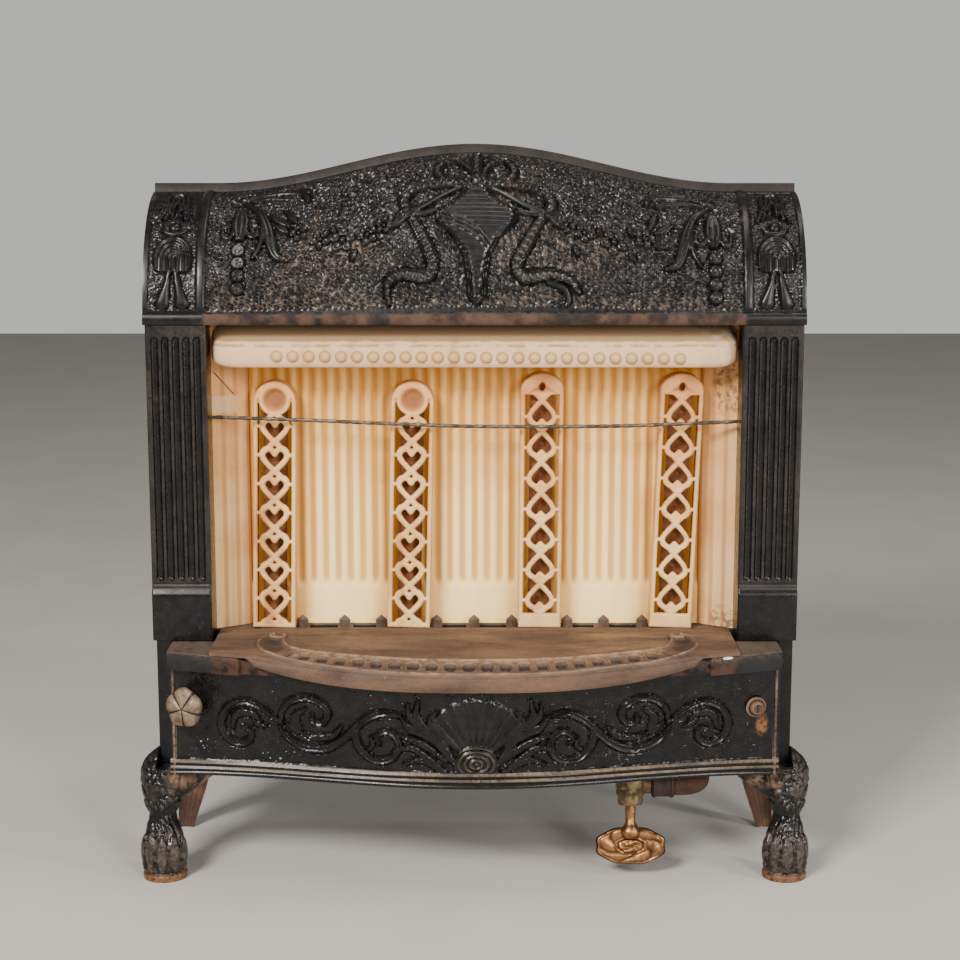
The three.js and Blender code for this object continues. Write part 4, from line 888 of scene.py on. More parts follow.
def build_plate():
    xs = np.unique(np.concatenate((np.linspace(-PLATE_HALF, PLATE_HALF, 330),
                                   (-195.0, -188.0, 188.0, 195.0))))
    front = ledge_front(xs)
    skirt = 1 - ease(np.abs(xs), 184, 194)
    low = blend(PLATE_TOP - PLATE_THICK, skirt, SKIRT_BOTTOM + 20 * (np.abs(xs) / RIM_HALF) ** 3)
    back = np.concatenate((np.linspace(0, 0.26, 36), np.linspace(0.27, 0.6, 26), np.linspace(0.63, 1, 12)))
    y = front[:, None] + 1.2 + (30 - front[:, None] - 1.2) * back
    x = xs[:, None] + 0 * y
    add = plate_relief(x, y)
    lip = ease(y - front[:, None], 0.4, 5)
    z = plate_top(x, y) + add * lip + (0.8 * lip - 2.6 * (1 - lip) ** 2) * skirt[:, None]
    edge = z[:, 0]
    rows = []
    for k in np.linspace(1, 0, 11):
        bulge = 1.0 - math.sin(math.pi * (0.08 + 0.84 * k)) ** 0.6
        rows.append(strip(xs, front + bulge * 2.2 * skirt + 0.3, blend(low, k, edge - 0.3)))
    rows += [strip(xs, front + 5.0, np.minimum(low, edge - 1.8)),
             strip(xs, front + 5.2, np.minimum(plate_top(xs, front + 5.2) - PLATE_THICK, edge - 1.6)),
             strip(xs, -5.0, PLATE_TOP - PLATE_THICK), strip(xs, 30.0, PLATE_TOP - PLATE_THICK)]
    rings = np.concatenate([xyz(x, y, np.minimum(z, PLATE_TOP + 3.2))[:, ::-1]] + rows, 1)
    rise = np.zeros(rings.shape[:2])
    rise[:, :y.shape[1]] = add[:, ::-1] - 0.4
    Body().rings(rings, rise).piece("hearth_casting", PLATE_RUST, "hearth_plate")


def apron_ornament(relief):
    stems = (
        (2.0, (163, 149, 1.0), (172, 156, 2.0), (184, 164, 2.6), (197, 167, 3.0), (210, 161, 3.2),
         (216.5, 147, 3.4),
         (212, 134, 3.4), (201, 128, 3.2), (192, 133, 2.8), (191, 141, 2.4), (198, 144, 1.6)),
        (2.0, (164, 150, 1.2), (163, 161, 2.4), (154, 171, 2.8), (141, 174, 3.0), (129, 169, 3.0),
         (124, 160, 2.8),
         (129, 152, 2.6), (137, 153, 2.2), (137, 159, 1.4)),
        (2.2, (166, 147, 1.2), (158, 136, 2.8), (143, 128, 3.6), (126, 129, 3.8), (110, 139, 3.4),
         (98, 152, 3.2),
         (82, 162, 3.2), (62, 162, 1.6)),
        (2.0, (91, 158, 1.4), (100, 148, 2.8), (98, 132, 3.2), (84, 120, 3.2), (69, 124, 3.0), (64, 137, 2.8),
         (73, 147, 2.6), (83, 142, 2.2), (80, 135, 1.6)))
    leaves = (
        ((160, 150, 1.0), (150, 143, 3.0), (152, 156, 3.4), (143, 164, 1.2)),
        ((146, 141, 1.0), (134, 138, 3.0), (120, 141, 3.0), (112, 150, 1.0)),
        ((182, 150, 1.0), (190, 157, 3.0), (203, 155, 3.2), (207, 142, 1.2)),
        ((176, 146, 1.0), (184, 147, 2.4), (189, 152, 1.0)),
        ((62, 160, 1.0), (54, 150, 3.4), (44, 146, 3.6), (30, 136, 1.4)),
        ((64, 144, 1.0), (52, 140, 2.8), (40, 134, 3.0), (24, 122, 1.6)),
        ((66, 130, 1.0), (54, 133, 2.8), (42, 126, 3.0), (24, 112, 1.6)),
        ((47, 176, 1.0), (49, 162, 3.0), (42, 150, 3.4), (28, 132, 1.6)),
        ((56, 172, 0.8), (55, 162, 2.4), (49, 152, 1.4)),
        ((60, 118, 1.0), (46, 122, 2.6), (32, 116, 2.4), (20, 108, 1.2)),
        ((92, 128, 0.8), (86, 134, 2.0), (88, 142, 0.8)))
    for side in (-1, 1):
        for rise, *path in stems:
            relief.strap([(side * u, v, w) for u, v, w in path], scroll(rise), count=90)
        for path in leaves:
            relief.strap([(side * u, v, w) for u, v, w in path], leaf(1.8, 0.9), count=40)
    u0, v0 = 1.5, 118.0
    inside = relief.near(u0 - 44, u0 + 44, 98, 182)
    du, dv = relief.u[inside] - u0, relief.v[inside] - v0
    r, angle = np.hypot(du, dv), np.arctan2(du, dv)
    fold = np.abs(np.sin(angle * 14.0))
    reach = 58.0 - 8.0 * angle ** 2 + 1.8 * fold
    milled = 0.5 + 0.5 * np.cos(angle * 90) * ease(r, reach - 7, reach - 5)
    fan = (0.2 + 1.9 * fold ** 1.2) * ease(r, 12, 24) * ease(reach - r, 0, 3) * (0.75 + 0.25 * milled) + 0.2
    arcs = 1.9 + 0.8 * np.cos(2 * math.pi * np.hypot(du, 1.35 * dv - 2) / 5.0)
    cover = np.where(r < 19, 1.0, ease(reach - r, -0.6, 0.6) * ease(0.95 - np.abs(angle), 0, 0.05))
    relief.lay(inside, np.where(r < 19, arcs, fan), cover * ease(relief.v[inside], 103, 105))
    for turn in (-1, 1):
        relief.strap([(u0 + turn * u, v, w) for u, v, w in (
            (15, 116, 1.2), (24, 128, 3.4), (33, 144, 4.0), (38, 158, 3.0), (33, 166, 1.0))], leaf(2.2, 0.8),
                     count=40)


def build_apron():
    xs = np.unique(np.concatenate((np.linspace(-LEDGE_HALF, LEDGE_HALF, 500),
                                   (-201.0, -195.0, 195.0, 201.0))))
    behind = 1 - ease(np.abs(xs), RIM_HALF, RIM_HALF + 6)
    edge = ledge_front(xs) + 5.8 * behind
    shelf_drop = PLATE_THICK + GAP + 2.5 * behind
    shelf_edge, shelf_back = plate_top(xs, edge) - shelf_drop, plate_top(xs, -3.2) - shelf_drop
    under = np.minimum(LEDGE_TOP - LEDGE_THICK, shelf_edge - 6.2)
    up = np.linspace(0, 1, 96)
    z = APRON_BOTTOM + (under - 0.2 - APRON_BOTTOM)[:, None] * up
    x = xs[:, None] + 0 * z
    grain = pebbles(x, z, 2.6, 71)
    ground = 0.75 * grain * (0.5 + value_noise(x, z, 40, 73)) + 0.5 * (value_noise(x, z, 9, 72) - 0.5) - 1.1
    relief = Relief(x, z, ground, -2.2 + 1.0 * grain * value_noise(x, z, 30, 74), 1.0, -2.9)
    apron_ornament(relief)
    away = np.abs(x)
    side_band, foot = ease(away, 246.0, 247.2), 1 - ease(z, 111.2, 112.4)
    h = blend(blend(relief.h, side_band, -1.0), ease(away, 256.6, 257.6), 0.2)
    mould = 0.9 + 1.9 * ridge(z, 108.4, 1.7) + 1.7 * ridge(z, 103.6, 1.5) + 1.2 * (1 - ease(z, 99.0, 101.0))
    h = blend(h, foot, mould) * (1 - ease(up, 0.975, 0.985))
    chamfer = 1.2 * ease(np.abs(xs), 190, 200)
    face_top = apron_face(xs, under)
    rest = [strip(xs, y, z) for y, z in (
        (np.minimum(face_top - 0.1, edge + 0.4), under), (edge + 0.1, under + 0.8),
        (edge, shelf_edge - 0.5 - chamfer), (edge + 0.5 + chamfer, shelf_edge), (-3.2, shelf_back),
        (-3.2, shelf_back - WALL), (np.maximum(face_top, edge) + WALL + 1, under + 1),
        (apron_face(xs, 150) + WALL, 150.0), (apron_foot(xs) + WALL, APRON_BOTTOM))]
    rings = np.concatenate([xyz(x, apron_face(x, z) - h, z)] + rest, 1)
    rise = np.full(rings.shape[:2], -1.4)
    bare = np.maximum((ridge(z, 110.4, 1.2) + 0.9 * ridge(z, 105.0, 1.0)) * foot,
                      0.9 * ridge(away, 258.6, 1.1))
    rise[:, :len(up)] = relief.tone * (1 - foot) * (1 - side_band) - 1.6 * np.maximum(foot, side_band) \
        + 3.4 * bare
    rise[:, len(up) + 2:len(up) + 6] = -0.3
    body = Body().rings(rings, rise)
    for side in (-1, 1):
        body.rings([[(side * px, y, z) for y, z in (
            (-31.0, APRON_BOTTOM + 0.2), (-GAP, APRON_BOTTOM + 0.2), (-GAP, 195.0), (-31.0, 195.0))]
            for px in (APRON_HALF - 0.1, APRON_HALF - WALL)])
    body.piece("apron_casting", APRON_PAINT, "apron")


# Clay pieces

def build_fireback():
    """Soft convex reeds that die out above a smooth foot"""
    xs = np.linspace(-FIREBACK_HALF, FIREBACK_HALF, 433)
    zs = np.concatenate(([211.4, 222.0, 232.0], np.linspace(238, 262, 19),
                         [280.0, 330.0, 380.0, 430.0, 480.0]))
    x, z = np.meshgrid(xs, zs, indexing="xy")
    valley = np.abs(np.cos(math.pi * (x + FIREBACK_HALF) / 11.0)) ** 2.4 \
        * (ease(z, 243, 254) * (0.85 + 0.3 * value_noise(x, z, 60, 81)))
    back = [strip(px, 60.0, zs) for px in (FIREBACK_HALF, -FIREBACK_HALF)]
    # the reed valleys get a low rise, so clay_paint paints them darker: painted shade between the reeds
    Body().rings(np.concatenate([xyz(x, 50.0 + 3.2 * valley, z)] + back, 1),
                 np.pad(-3.0 * valley, ((0, 0), (0, 2)))) \
        .piece("fireback_clay_slab", FIREBACK_CLAY, "fireback")


def build_lintel():
    half, nose = 225.3, 20.0
    bend = nose * np.sin(np.linspace(0, math.pi / 2, 14))
    xs = np.concatenate((nose - half - bend[::-1], half - nose + bend))
    rings = []
    for x in xs:
        reach = max(0.0, (abs(x) - half + nose) / nose)
        bow = 1 - math.sqrt(max(0.0, 1 - reach * reach))
        front, tuck = 4 + 17.0 * bow, 8.0 * bow
        profile = ((29.4, 447.0, 1), (front + 6, 445.6, 1), (front + 2.4, 446.4, 1),
                   (front + 0.6, 448.6, 0.9), (front, 451.5, 0.7), (front, 460.6, 0),
                   (front + 0.5, 464.0, -0.1), (front + 2.4, 467.2, -0.3), (front + 5.0, 469.4, -0.5),
                   (28.4, 479.6, -1), (29.4, 481.0, -1))
        rings.append([(x, y, z + part * tuck) for y, z, part in profile])
    Body().rings(rings).piece("lintel_bar", LINTEL_CLAY, "lintel")
    studs_on_line("lintel_beads", FIRST_BEAD, LAST_BEAD, BEAD_COUNT, 4.1, 3.4, LINTEL_CLAY)


def studs_on_line(name, start, end, count, radius, proud, material):
    """A row of domed studs facing the front, made by a geometry node group and turned into a plain mesh"""
    tree = bpy.data.node_groups.new(name + "_nodes", "GeometryNodeTree")
    inputs = {}
    for label, kind, value in (("Count", "Int", count), ("Radius", "Float", radius * MM),
                               ("Flatness", "Float", proud / radius),
                               ("Start", "Vector", to_frame(start).tolist()),
                               ("End", "Vector", to_frame(end).tolist())):
        socket = tree.interface.new_socket(label, in_out="INPUT", socket_type="NodeSocket" + kind)
        inputs[socket.identifier] = value
    tree.interface.new_socket("Geometry", in_out="OUTPUT", socket_type="NodeSocketGeometry")
    given = add_node(tree, "NodeGroupInput").outputs
    line = add_node(tree, "GeometryNodeMeshLine", {"mode": "END_POINTS"},
                    {"Count": given["Count"], "Start Location": given["Start"], "Offset": given["End"]})
    ball = add_node(tree, "GeometryNodeMeshUVSphere", {},
                    {"Segments": 16, "Rings": 12, "Radius": given["Radius"]})
    scale = add_node(tree, "ShaderNodeCombineXYZ", {}, {"X": 1.0, "Y": given["Flatness"], "Z": 1.0})
    flat = add_node(tree, "GeometryNodeTransform", {},
                    {"Geometry": ball.outputs[0], "Scale": scale.outputs[0]})
    made = add_node(tree, "GeometryNodeInstanceOnPoints", {},
                    {"Points": line.outputs[0], "Instance": flat.outputs[0]})
    for kind, values in (("RealizeInstances", {}), ("SetShadeSmooth", {}),
                         ("SetMaterial", {"Material": material})):
        made = add_node(tree, "GeometryNode" + kind, {}, {"Geometry": made.outputs[0], **values})
    add_node(tree, "NodeGroupOutput", {}, {"Geometry": made.outputs[0]})
    holder = link(name + "_holder", bpy.data.meshes.new(name + "_holder"))
    modifier = holder.modifiers.new("studs", "NODES")
    modifier.node_group = tree
    for identifier, value in inputs.items():
        modifier[identifier] = value
    mesh = bpy.data.meshes.new_from_object(holder.evaluated_get(bpy.context.evaluated_depsgraph_get()))
    mesh.name = name
    bpy.data.objects.remove(holder)
    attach(link(name, mesh), BODY)


HEART = [(0.0, 4.2), (2.7, 7.8), (6.9, 9.0), (10.6, 5.6), (9.8, 0.0), (5.2, -5.6), (0.0, -10.6),
         (-5.0, -15.4),
         (-9.4, -19.4), (-10.8, -22.4)]
RADIANT_HALF = 18.7
RADIANT_FOOT = 211.9
# For hearts upright or turned over: height, level of the first heart, their pitch, how flat the head is
RADIANT_SHAPES = {1: (219.0, 388.5, 25.6, 1.0), -1: (226.0, 403.0, 27.2, 0.78)}


def lattice(x, z, turn):
    """Signed distance over a radiant's front, below 0 inside the clay, and the dish at its head"""
    height, first, pitch, squash = RADIANT_SHAPES[turn]
    outline = np.hypot(x, np.maximum(z - (height - RADIANT_HALF * squash), 0) / squash) - RADIANT_HALF
    solid = -outline - 3.9
    line = smooth_path(HEART if turn > 0 else [(0.0, 6.6), (3.2, 9.2)] + HEART[2:], 56)
    a, ab = line[:-1], line[1:] - line[:-1]
    size = (ab ** 2).sum(1)
    for k in range(-1, 8):
        local = (z - (first - RADIANT_FOOT) + pitch * k) * turn
        near = np.abs(local + 6) < 19
        for side in (-1, 1):
            q = np.stack((x[near] * side, local[near] * 25.6 / pitch), -1)[:, None]
            f = np.clip(((q - a) * ab).sum(-1) / size, 0, 1)
            gap = np.linalg.norm(q - (a + f[..., None] * ab), axis=-1).min(1)
            solid[near] = np.minimum(solid[near], gap - (2.5 if turn > 0 else 2.2))
        if turn < 0:
            solid = np.minimum(solid, np.hypot(x, local + 14.8) - 2.5)
        solid = np.minimum(solid, np.hypot(np.maximum(12.4 - np.abs(x), 0), local - 3.2) - 1.7)
    solid = np.minimum(solid, z - (4.6 if turn > 0 else 13.0))
    if turn > 0:
        dish = np.hypot(x, z - (height - 16.6)) - 12.4
        solid = np.minimum(np.minimum(solid, height - 14.0 - z), dish - 1.4)
    else:
        dish = np.maximum(np.abs(x) * 0.9 + np.maximum(z - height + 17, -3) - 11.0, height - 19.0 - z)
        solid = np.maximum(np.minimum(solid, height - 19.0 - z), 2.6 - np.hypot(x, 0.7 * (z - height + 12)))
    return np.maximum(np.maximum(solid, outline), -z), dish


def build_radiant(index, x0, turn, lean):
    height, first, pitch, squash = RADIANT_SHAPES[turn]
    half, cell, step, theta = RADIANT_HALF, 0.8, 0.05, math.radians(lean)
    x, z = np.meshgrid(np.arange(-half - cell, half + 1.5 * cell, cell),
                       np.arange(-cell, height + 1.5 * cell, cell), indexing="xy")

    def field(px, pz):
        return lattice(px, pz, turn)[0]

    def put(px, y, pz):
        return xyz(x0 + px * math.cos(theta) + pz * math.sin(theta), 28.0 + y,
                   RADIANT_FOOT + 0.3 - px * math.sin(theta) + pz * math.cos(theta))
    d = field(x, z)
    # points next to an edge of the clay are moved onto it, so that the openings have smooth rims
    for _ in range(2):
        du = (field(x + step, z) - field(x - step, z)) / (2 * step)
        dv = (field(x, z + step) - field(x, z - step)) / (2 * step)
        move = d / np.maximum(np.hypot(du, dv), 0.3) ** 2 * (np.abs(d) < 0.56 * cell)
        x, z = x - du * move, z - dv * move
        d = field(x, z)
    solid = d < 0.08
    keep = solid[:-1, :-1] & solid[1:, :-1] & solid[:-1, 1:] & solid[1:, 1:]
    bowl = (6.4 if turn > 0 else 4.6) * ease(-lattice(x, z, turn)[1], 0.0, 6.2)
    depth = 2.1 * (1 - dome(1 - np.clip(-d / 2.1, 0, 1))) + bowl
    grid = np.arange(x.size).reshape(x.shape)
    quads = np.stack((grid[:-1, :-1][keep], grid[:-1, 1:][keep], grid[1:, 1:][keep], grid[1:, :-1][keep]), 1)
    edges = {(face[i], face[(i + 1) % 4]) for face in quads.tolist() for i in range(4)}
    walls = [(p + x.size, q + x.size, q, p) for p, q in edges if (q, p) not in edges]
    faces = np.array(quads.tolist() + (quads[:, ::-1] + x.size).tolist() + walls)
    used, renumbered = np.unique(faces, return_inverse=True)
    body = Body()
    body.points = [np.vstack((put(x, depth, z).reshape(-1, 3),
                              put(x, np.maximum(5.0, depth + 2), z).reshape(-1, 3)))[used]]
    # low rise on the strap edges, in the dish and on the back faces, walls and web, which clay_paint paints
    # darker: painted shade in the openings and hollows, on the web partly its own darker clay
    front = -0.7 * (depth - bowl) - 0.55 * bowl
    body.rise = [np.concatenate((front.ravel(), np.full(x.size, -4.2)))[used]]
    body.faces, body.count = renumbered.reshape(faces.shape).tolist(), len(used)
    span = half * squash
    sides = [(half, v) for v in np.linspace(0, height - span, 12)]
    outer = np.array(sides + [(half * math.cos(t), height - span + span * math.sin(t))
                              for t in np.linspace(0, math.pi, 25)[1:-1]] + [(-u, v) for u, v in sides[::-1]])
    inner = outer * (0.815, 1) - (0, 3.4) * (outer[:, 1:] > height - span)
    inner[:, 1] = np.maximum(inner[:, 1], 0)
    loops = ((outer, 4.9, -0.4), (outer, 10.0, -1.2), (outer, 18.0, -2.0), (inner, 18.0, -4),
             (inner, 4.9, -4))
    body.rings(np.stack([put(loop[:, 0] * 0.995, y, loop[:, 1]) for loop, y, _ in loops], 1),
               [tone for _, _, tone in loops])
    # an upright web behind the hearts, rough, with a stub at each heart
    u, v = np.meshgrid(np.linspace(-10.2, 10.2, 15), np.linspace(2, height - 4, 150), indexing="xy")
    local = ((v - first + RADIANT_FOOT) / pitch + 0.5) % 1.0 - 0.5
    stub = 2.6 * ridge(np.hypot(u, local * pitch), 0, 2.6) + 1.6 * value_noise(u + 40 * index, v, 3.6, 87)
    back = put(u[:, ::-1], 14.0, 0) + xyz(v * math.sin(theta), 0, v * math.cos(theta))
    body.rings(np.concatenate((put(u, 12.4 - stub, v), back), 1), -5.0)
    body.piece(f"radiant_{index}_clay", RADIANT_CLAY, f"radiant_{index}", sharp=60)


# Feet and legs

def build_foot(name, side):
    """Claw foot: curled leafy knee, narrow ankle, toes over a round base; drawn on the left"""
    levels = np.array([
        (0, 3.2, -18, 18.8, 17.4), (4.5, 3.2, -18, 19.6, 18.0), (6.5, 3.2, -18, 18.0, 16.6),
        (9, 3.2, -18, 17.6, 16.2), (14, 3.2, -18, 18.2, 16.8), (24, 3.2, -18, 18.8, 17.6),
        (34, 3.0, -18, 18.2, 17.0), (43, 2.6, -17, 15.6, 14.6), (51, 1.8, -15, 11.8, 12.0),
        (58, 1.4, -13, 11.8, 12.4), (66, 1.2, -10.6, 14.6, 14.4), (76, 1.0, -7.6, 16.4, 16.2),
        (86, 0.8, -5.2, 17.2, 17), (94, 0.4, -4.0, 16.6, 16.2), (98, 0.4, -3.4, 15.6, 15.2),
        (103, 1.4, -1.4, 13.6, 13.0), (109, 3.0, 0.8, 9.0, 8.6), (112, 3.4, 2, 6.8, 5.4)])
    zs = np.concatenate((np.linspace(0, 97.2, 120), [97.5], np.linspace(98.4, 112, 18)))
    dx, cy, rx, ry = (np.interp(zs, levels[:, 0], levels[:, k])[:, None] for k in range(1, 5))
    angle = np.linspace(0, 2 * math.pi, 132, endpoint=False)[None, :]
    z = zs[:, None] + 0 * angle
    turn = (angle + math.pi / 2 + math.pi) % (2 * math.pi) - math.pi
    h = np.zeros_like(z)
    for k in (-2, -1, 0, 1, 2):
        off = (turn - 0.62 * k) / 0.34
        toe = np.clip(1 - off ** 2 - ((z - 25) / 17.5) ** 2, 0, 1) ** 0.6
        claw = np.clip(1 - (off / 0.62) ** 2 - ((z - 12.5) / 5.5) ** 2, 0, 1) ** 0.5
        h = np.maximum(h, np.maximum(3.4 * toe, 3.0 * claw))
    h -= 0.9 * ease(z, 8, 11) * (1 - ease(z, 42, 48))
    hair = np.abs(np.sin(7 * angle + 0.09 * z + 2.2 * value_noise(angle * 6, z, 9.0, 91)))
    h += 1.3 * (hair - 0.45) * ease(z, 30, 40) * (1 - ease(z, 52, 58))
    leaf_tip = 58 + 9 * np.abs(np.sin(2.5 * turn))
    on_leaf = ease(z, leaf_tip - 1, leaf_tip + 1.2)
    veins = np.abs(np.sin(2.5 * turn)) + 0.35 * np.abs(np.sin(12 * turn + 0.16 * z))
    lobes = pebbles(turn * 17 + 0.2 * z, z, 8.0, 93)
    h += on_leaf * (1.0 + 1.5 * (lobes - 0.5) + 0.9 * (veins - 0.6))
    for a0, z0, r0 in ((-1.2, 92, 8.0), (-2.2, 100, 7.0), (-0.35, 80, 7.0), (0.7, 88, 7.5)):
        r = np.hypot((turn - a0) * 17, z - z0) / r0
        spiral = np.abs(np.sin(3.0 * r + 0.5 * np.arctan2(z - z0, (turn - a0) * 17)))
        h += (1 - ease(r, 0.8, 1.05)) * (0.6 + 1.5 * (spiral - 0.5)) * on_leaf
    grain = value_noise(angle * 14, z, 2.2, 95) + value_noise(angle * 14, z, 1.1, 96) - 1
    h += 0.5 * grain - ridge(z, 7.6, 1.0)
    h = np.minimum(h * ease(z, 0, 6) * (1 - ease(z, 108, 112)), 2.2)
    px = -(274.6 - dx) + (rx + h) * np.cos(angle)
    px = np.maximum(np.where(z > 97.3, np.minimum(px, -276.9), px), -292.6)
    body = Body().rings(xyz(px, cy + (ry + h) * np.sin(angle), z), h - 0.3)
    t = np.linspace(0, 1, 30)[:, None]
    a = np.linspace(0, 2 * math.pi, 36, endpoint=False)
    low, high = 60 + 29 * t ** 1.1, 88 + 8.6 * ease(t, 0, 0.5)
    across = 11.0 - 4.0 * t + 0.9 * np.sin(11 * t) + 0.8 * (value_noise(a * 5, t * 30, 3.0, 97) - 0.5)
    up = (low + high) / 2 + (high - low) / 2 * np.sign(np.sin(a)) * np.abs(np.sin(a)) ** 0.8
    body.rings(xyz(-268 + 40 * t, -4 + across * np.cos(a), np.minimum(up, 97.2)), 0.6 * np.sin(3 * a))
    body.piece(name + "_casting", FOOT_PAINT, name, sharp=75, side=side)


def build_leg(name, side):
    levels = [(0, -271, 106, 7, 2), (14, -269, 109.5, 9.4, 3), (44, -263.5, 113.4, 13.4, 5.4),
              (74, -259.5, 111.6, 15, 6), (99.6, -258, 106, 15, 6)]
    across = np.linspace(-1, 1, 13)
    rings = [[(x + half * f, y - camber * f * f, max(0.0, z)) for f in across]
             + [(x + half * f * 0.98, y - camber * f * f + 4.5, max(0.0, z)) for f in across[::-1]]
             for z, x, y, half, camber in smooth_path(levels, 30)]
    # the ribs are only in the rise, not in the shape: rust_paint paints them as a painted highlight on their
    # tops and painted shade between them
    ribs = np.abs(np.cos(np.pi * np.concatenate((across, across[::-1])) * 2.5))
    Body().rings(rings, 1.2 - 2.6 * ribs).piece(name + "_casting", LEG_RUST, name, side=side)


# Knob, stud, wire, valve and pipes

def seat_on_apron(x, z):
    """A function that puts local points, with +Z outward, on the apron's face"""
    def face(px, pz):
        return np.array((px, float(apron_face(np.float64(px), np.float64(pz))), pz))
    across = face(x + 8, z) - face(x - 8, z)
    up = face(x, z + 8) - face(x, z - 8)
    across, up = across / np.linalg.norm(across), up / np.linalg.norm(up)
    out = np.cross(across, up)
    out /= np.linalg.norm(out)
    foot = face(x, z) + out * 3 * GAP
    basis = np.array((across, np.cross(out, across), out))
    return lambda p: foot + p @ basis


def round_grid(inner, count, sides):
    """Distances from 0 to 1 and angles over a round face"""
    return np.meshgrid(np.linspace(inner, 1, count), np.linspace(0, 2 * math.pi, sides, endpoint=False),
                       indexing="ij")


def build_knob():
    """Full rose: five round petals about a small middle, on a waisted stem; and the bare stud on the right"""
    put = seat_on_apron(-242.5, 164)
    r, a = round_grid(0.02, 30, 110)
    reach = 15.6 + 0.7 * np.cos(5 * a)
    u, v = r * reach * np.sin(a), 1.1 * r * reach * np.cos(a)
    fold = np.abs(np.cos(2.5 * a))
    height = 13.4 + 7.9 * dome(0.94 * r) * (0.74 + 0.26 * fold ** 0.5) - 1.2 * ridge(r, 0, 0.12)
    top = xyz(u, v, np.minimum(np.where(r > 0.97, 13.6, height), 21.5))
    dark = -1.8 * ridge(fold, 0, 0.2) * ease(r, 0.06, 0.2) - 0.2 - 0.8 * ridge(r, 0, 0.1)
    stem = [xyz(k * u[-1], k * v[-1], h)
            for k, h in ((1.0, 12.6), (0.92, 10.8), (0.62, 9.6), (0.5, 8.0), (0.5, 0.0))]
    Body().rings(put(np.concatenate((top, stem))), np.concatenate((dark, np.full((5, 110), -0.9)))) \
        .piece("rosette_knob_metal", KNOB_METAL, "rosette_knob", sharp=60)
    put = seat_on_apron(240, 160)
    profile = [(0.1, 0, 0), (8.6, 0, 0.8), (9, 0.6, 1.6), (8.6, 2.0, 1.6), (7.2, 2.3, -0.8), (6.9, 1.6, -2.0),
               (6.4, 1.7, -2.0), (6.2, 4.4, -0.6), (4.9, 6.2, 1.0), (4.2, 6.4, 1.2), (3.6, 5.4, -0.8),
               (0.1, 5.0, -1.2)]
    stud = Body().turned([(r, h) for r, h, _ in profile], put, 36)
    stud.rise = [np.repeat([tone for _, _, tone in profile], 36)]
    stud.rings([[put(np.array((px, py, h))) for px, py in ((-0.8, -5), (0.8, -5), (0.8, 5), (-0.8, 5))]
                for h in (4.8, 5.6)], -3.0)
    stud.piece("apron_stud_metal", STUD_RUST, "apron_stud")


def key_place(local):
    x, y, z = np.moveaxis(np.asarray(local, float), -1, 0)
    c, s = math.cos(KEY_TILT), math.sin(KEY_TILT)
    return xyz(KEY_X + x, -6.6 + y * c + z * s, 76 - y * s + z * c)


def along_pipe(x):
    """A function that puts local points on the line of the pipe, with +Z to the right from x"""
    return lambda p: np.array((x + p[2], -4 + p[0], 80 + p[1]))


def build_valve():
    barrel = Body().turned([(0.1, 16), (9, 16), (12.4, 13), (13, 11), (13, 2), (12, 0), (12.6, -2),
                            (12.4, -5),
                            (0.1, -5)], key_place, 40)
    nut = [(0.1, -4.6), (10.6, -4.6), (10.8, -6), (10.8, -11), (9.6, -14), (5.6, -14.4), (5.4, -10),
           (0.1, -10)]
    barrel.turned(nut, key_place, 36, 6, 0.03)
    barrel.turned([(0.1, 0), (9, 0), (9, 17.6), (0.1, 17.6)], along_pipe(KEY_X), 28)
    barrel.piece("valve_body_brass", VALVE_BRASS, "valve_body")
    # a rose in the middle of a dished oval, with short ribs towards the lobed rim
    r, a = round_grid(0.01, 30, 120)
    lobe = 1 - 0.028 * np.cos(8 * a) - 0.02 * np.cos(4 * a)
    rose = (0.7 + 1.1 * np.abs(np.sin(2.5 * a + 9.0 * r))) * (1 - ease(r, 0.3, 0.36))
    leaves = np.abs(np.cos(3 * a + 5.0 * r)) ** 0.7 * ease(r, 0.46, 0.54) * ease(0.9 - r, 0, 0.08)
    thick = 1.2 + 1.2 * rose + ridge(r, 0.42, 0.05) + 1.5 * leaves + 1.1 * ridge(r, 0.93, 0.05) \
        - ease(r, 0.97, 1)
    x, z = 31.3 * r * lobe * np.cos(a), -KEY_DROP + 16.4 * r * lobe * np.sin(a)
    dark = thick - 2.7
    key = Body().rings(key_place(np.concatenate((xyz(x, -thick, z), xyz(x, thick, z)[::-1]))),
                       np.concatenate((dark, dark[::-1])))
    key.turned([(0.1, -8.6), (4.6, -8.8), (4.6, -20), (4.3, -24), (4.5, -29), (6.0, -32), (8.6, -35),
                (9.0, -38.5),
                (7.0, -43), (0.1, -44)], key_place, 32)
    key.piece("valve_key_brass", BRASS, "valve_key", body="valve_key", sharp=60)


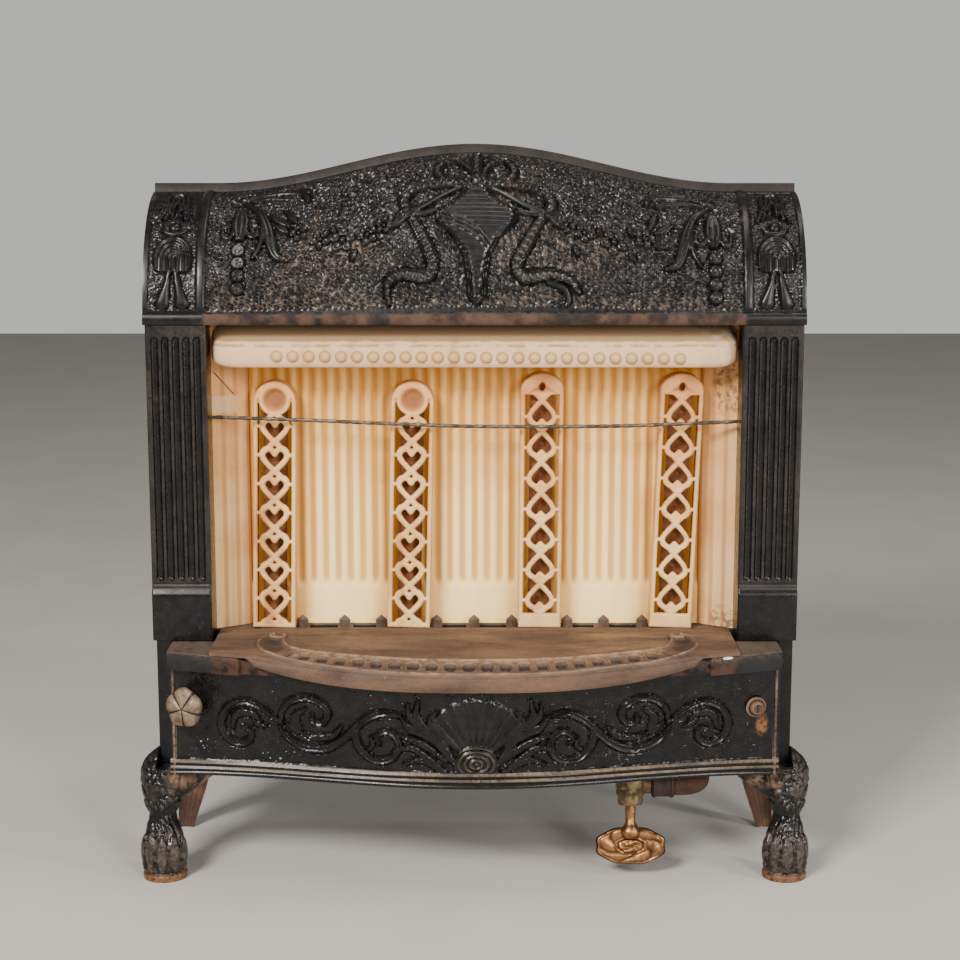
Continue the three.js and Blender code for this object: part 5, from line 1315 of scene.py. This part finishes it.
def build_pipes():
    Body().turned([(0.1, 0.1), (10.8, 0.1), (12.4, 1.6), (12.5, 3.2), (11.6, 4), (11.6, 16), (12.5, 16.8),
                   (12.4, 18.4), (10.8, 19.9), (0.1, 19.9)], along_pipe(155), 36) \
        .piece("pipe_coupling_iron", PIPE_METAL, "pipe_coupling")
    end = 197.4
    path = [(175.5, -4, 80), (180, -4, 80), (187, -2.6, 80), (193.5, 2, 80), (197, 9, 80)]
    path += [(end, y, 80) for y in (18, 35, 60, 90, 119.9)]
    pipe = Body().tube(smooth_path(path, 60), 10.3, 28)
    angle = np.linspace(0, 2 * math.pi, 24, False)
    pipe.rings([xyz(end + 7.2 * np.cos(angle), y, 80 + 7.2 * np.sin(angle)) for y in (119.6, 120.0)], -4.0)
    pipe.piece("supply_pipe_iron", LEG_RUST, "supply_pipe")
    mixer = smooth_path([(KEY_X, y, z) for y, z in (
        (-1.5, 94), (6, 116), (36, 156), (46, 174), (46.3, 189.4))], 30)
    Body().tube(mixer, 8.8, 24).piece("mixer_tube_iron", SHEET_METAL, "mixer_tube")
    wire = smooth_path([(-227, 20, 401.5), (-149, 20, 398.9), (-64, 20, 395.4), (5, 20, 393.3),
                        (125, 20, 393.7),
                        (227, 20, 397.6)], 400)
    strands = Body()
    for phase in (0.0, math.pi):
        twist = wire[:, 0] / 3.4 + phase
        strands.tube(wire + xyz(0, 0.5 * np.cos(twist), 0.5 * np.sin(twist)), 1.3, 8)
    strands.piece("guard_wire_strands", WIRE_METAL, "guard_wire")


# Stage, light and camera

def build_stage():
    bpy.ops.mesh.primitive_plane_add(size=9.0)
    floor = bpy.context.object
    floor.name = "floor"
    paint = Paint("floor_paint")
    paint.color = paint.mix(paint.noise(160, 4, 0.55).ramp(0.3, 0.7), (0.5, 0.485, 0.46), (0.53, 0.515, 0.49))
    floor.data.materials.append(paint.done(0.75))
    world = bpy.data.worlds.new("studio")
    bpy.context.scene.world = world
    world.use_nodes = True
    tree = world.node_tree
    background = tree.nodes["Background"].inputs
    background["Color"].default_value = (0.95, 0.94, 0.92, 1)
    # brighter to the camera than to the heater, so that the background stays pale
    seen = add_node(tree, "ShaderNodeLightPath").outputs["Is Camera Ray"]
    strength = add_node(tree, "ShaderNodeMath", {"operation": "MULTIPLY_ADD"}, {0: seen, 1: 0.4, 2: 0.2})
    tree.links.new(strength.outputs[0], background["Strength"])
    for name, place, aim, size, power in (
            ("key_light", (-1.3, -2.2, 2.0), (0, 0, 0.35), (0.9, 0.7), 130),
            ("fill_light", (1.2, -2.4, 1.2), (0, 0, 0.35), (0.6, 0.8), 42),
            ("top_light", (0.3, -0.2, 2.4), (0, 0, 0.4), (1.4, 0.6), 15),
            ("strip_light", (1.35, -0.75, 0.8), (0.2, 0, 0.5), (0.12, 1.5), 12)):
        data = bpy.data.lights.new(name, "AREA")
        data.shape = "RECTANGLE"
        data.size, data.size_y = size
        data.energy = power
        data.color = (1.0, 0.95, 0.88)
        light = link(name, data)
        light.location = place
        x, y, z = np.subtract(aim, place)
        light.rotation_euler = (math.atan2(math.hypot(x, y), -z), 0, math.atan2(y, x) - math.pi / 2)


def build_camera():
    data = bpy.data.cameras.new("camera")
    data.lens = 75.0
    data.sensor_width = 36.0
    camera = link("camera", data)
    camera.location = to_frame((4.6, -1685.8, 653.3))
    camera.rotation_euler = (math.radians(90 - 10.2), 0, 0)
    bpy.context.scene.camera = camera


build_camera()
build_stage()
build_hood()
build_pilaster("pilaster_left", -1)
build_pilaster("pilaster_right", 1)
build_plate()
build_apron()
build_fireback()
build_lintel()
for number, x0, turn, lean in ((1, -177.0, 1, 1.1), (2, -58.4, 1, 1.3), (3, 57.0, -1, 0.4),
                               (4, 172.4, -1, 2.0)):
    build_radiant(number, x0, turn, lean)
for build, name in ((build_foot, "foot_front"), (build_leg, "leg_rear")):
    build(name + "_left", -1)
    build(name + "_right", 1)
build_knob()
build_valve()
build_pipes()
for node, material in (("cheek_left", CHEEK_CLAY), ("cheek_right", CHEEK_CLAY), ("burner", BURNER_RUST),
                       ("casing", SHEET_METAL)):
    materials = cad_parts[node].data.materials
    materials.clear()
    materials.append(material)
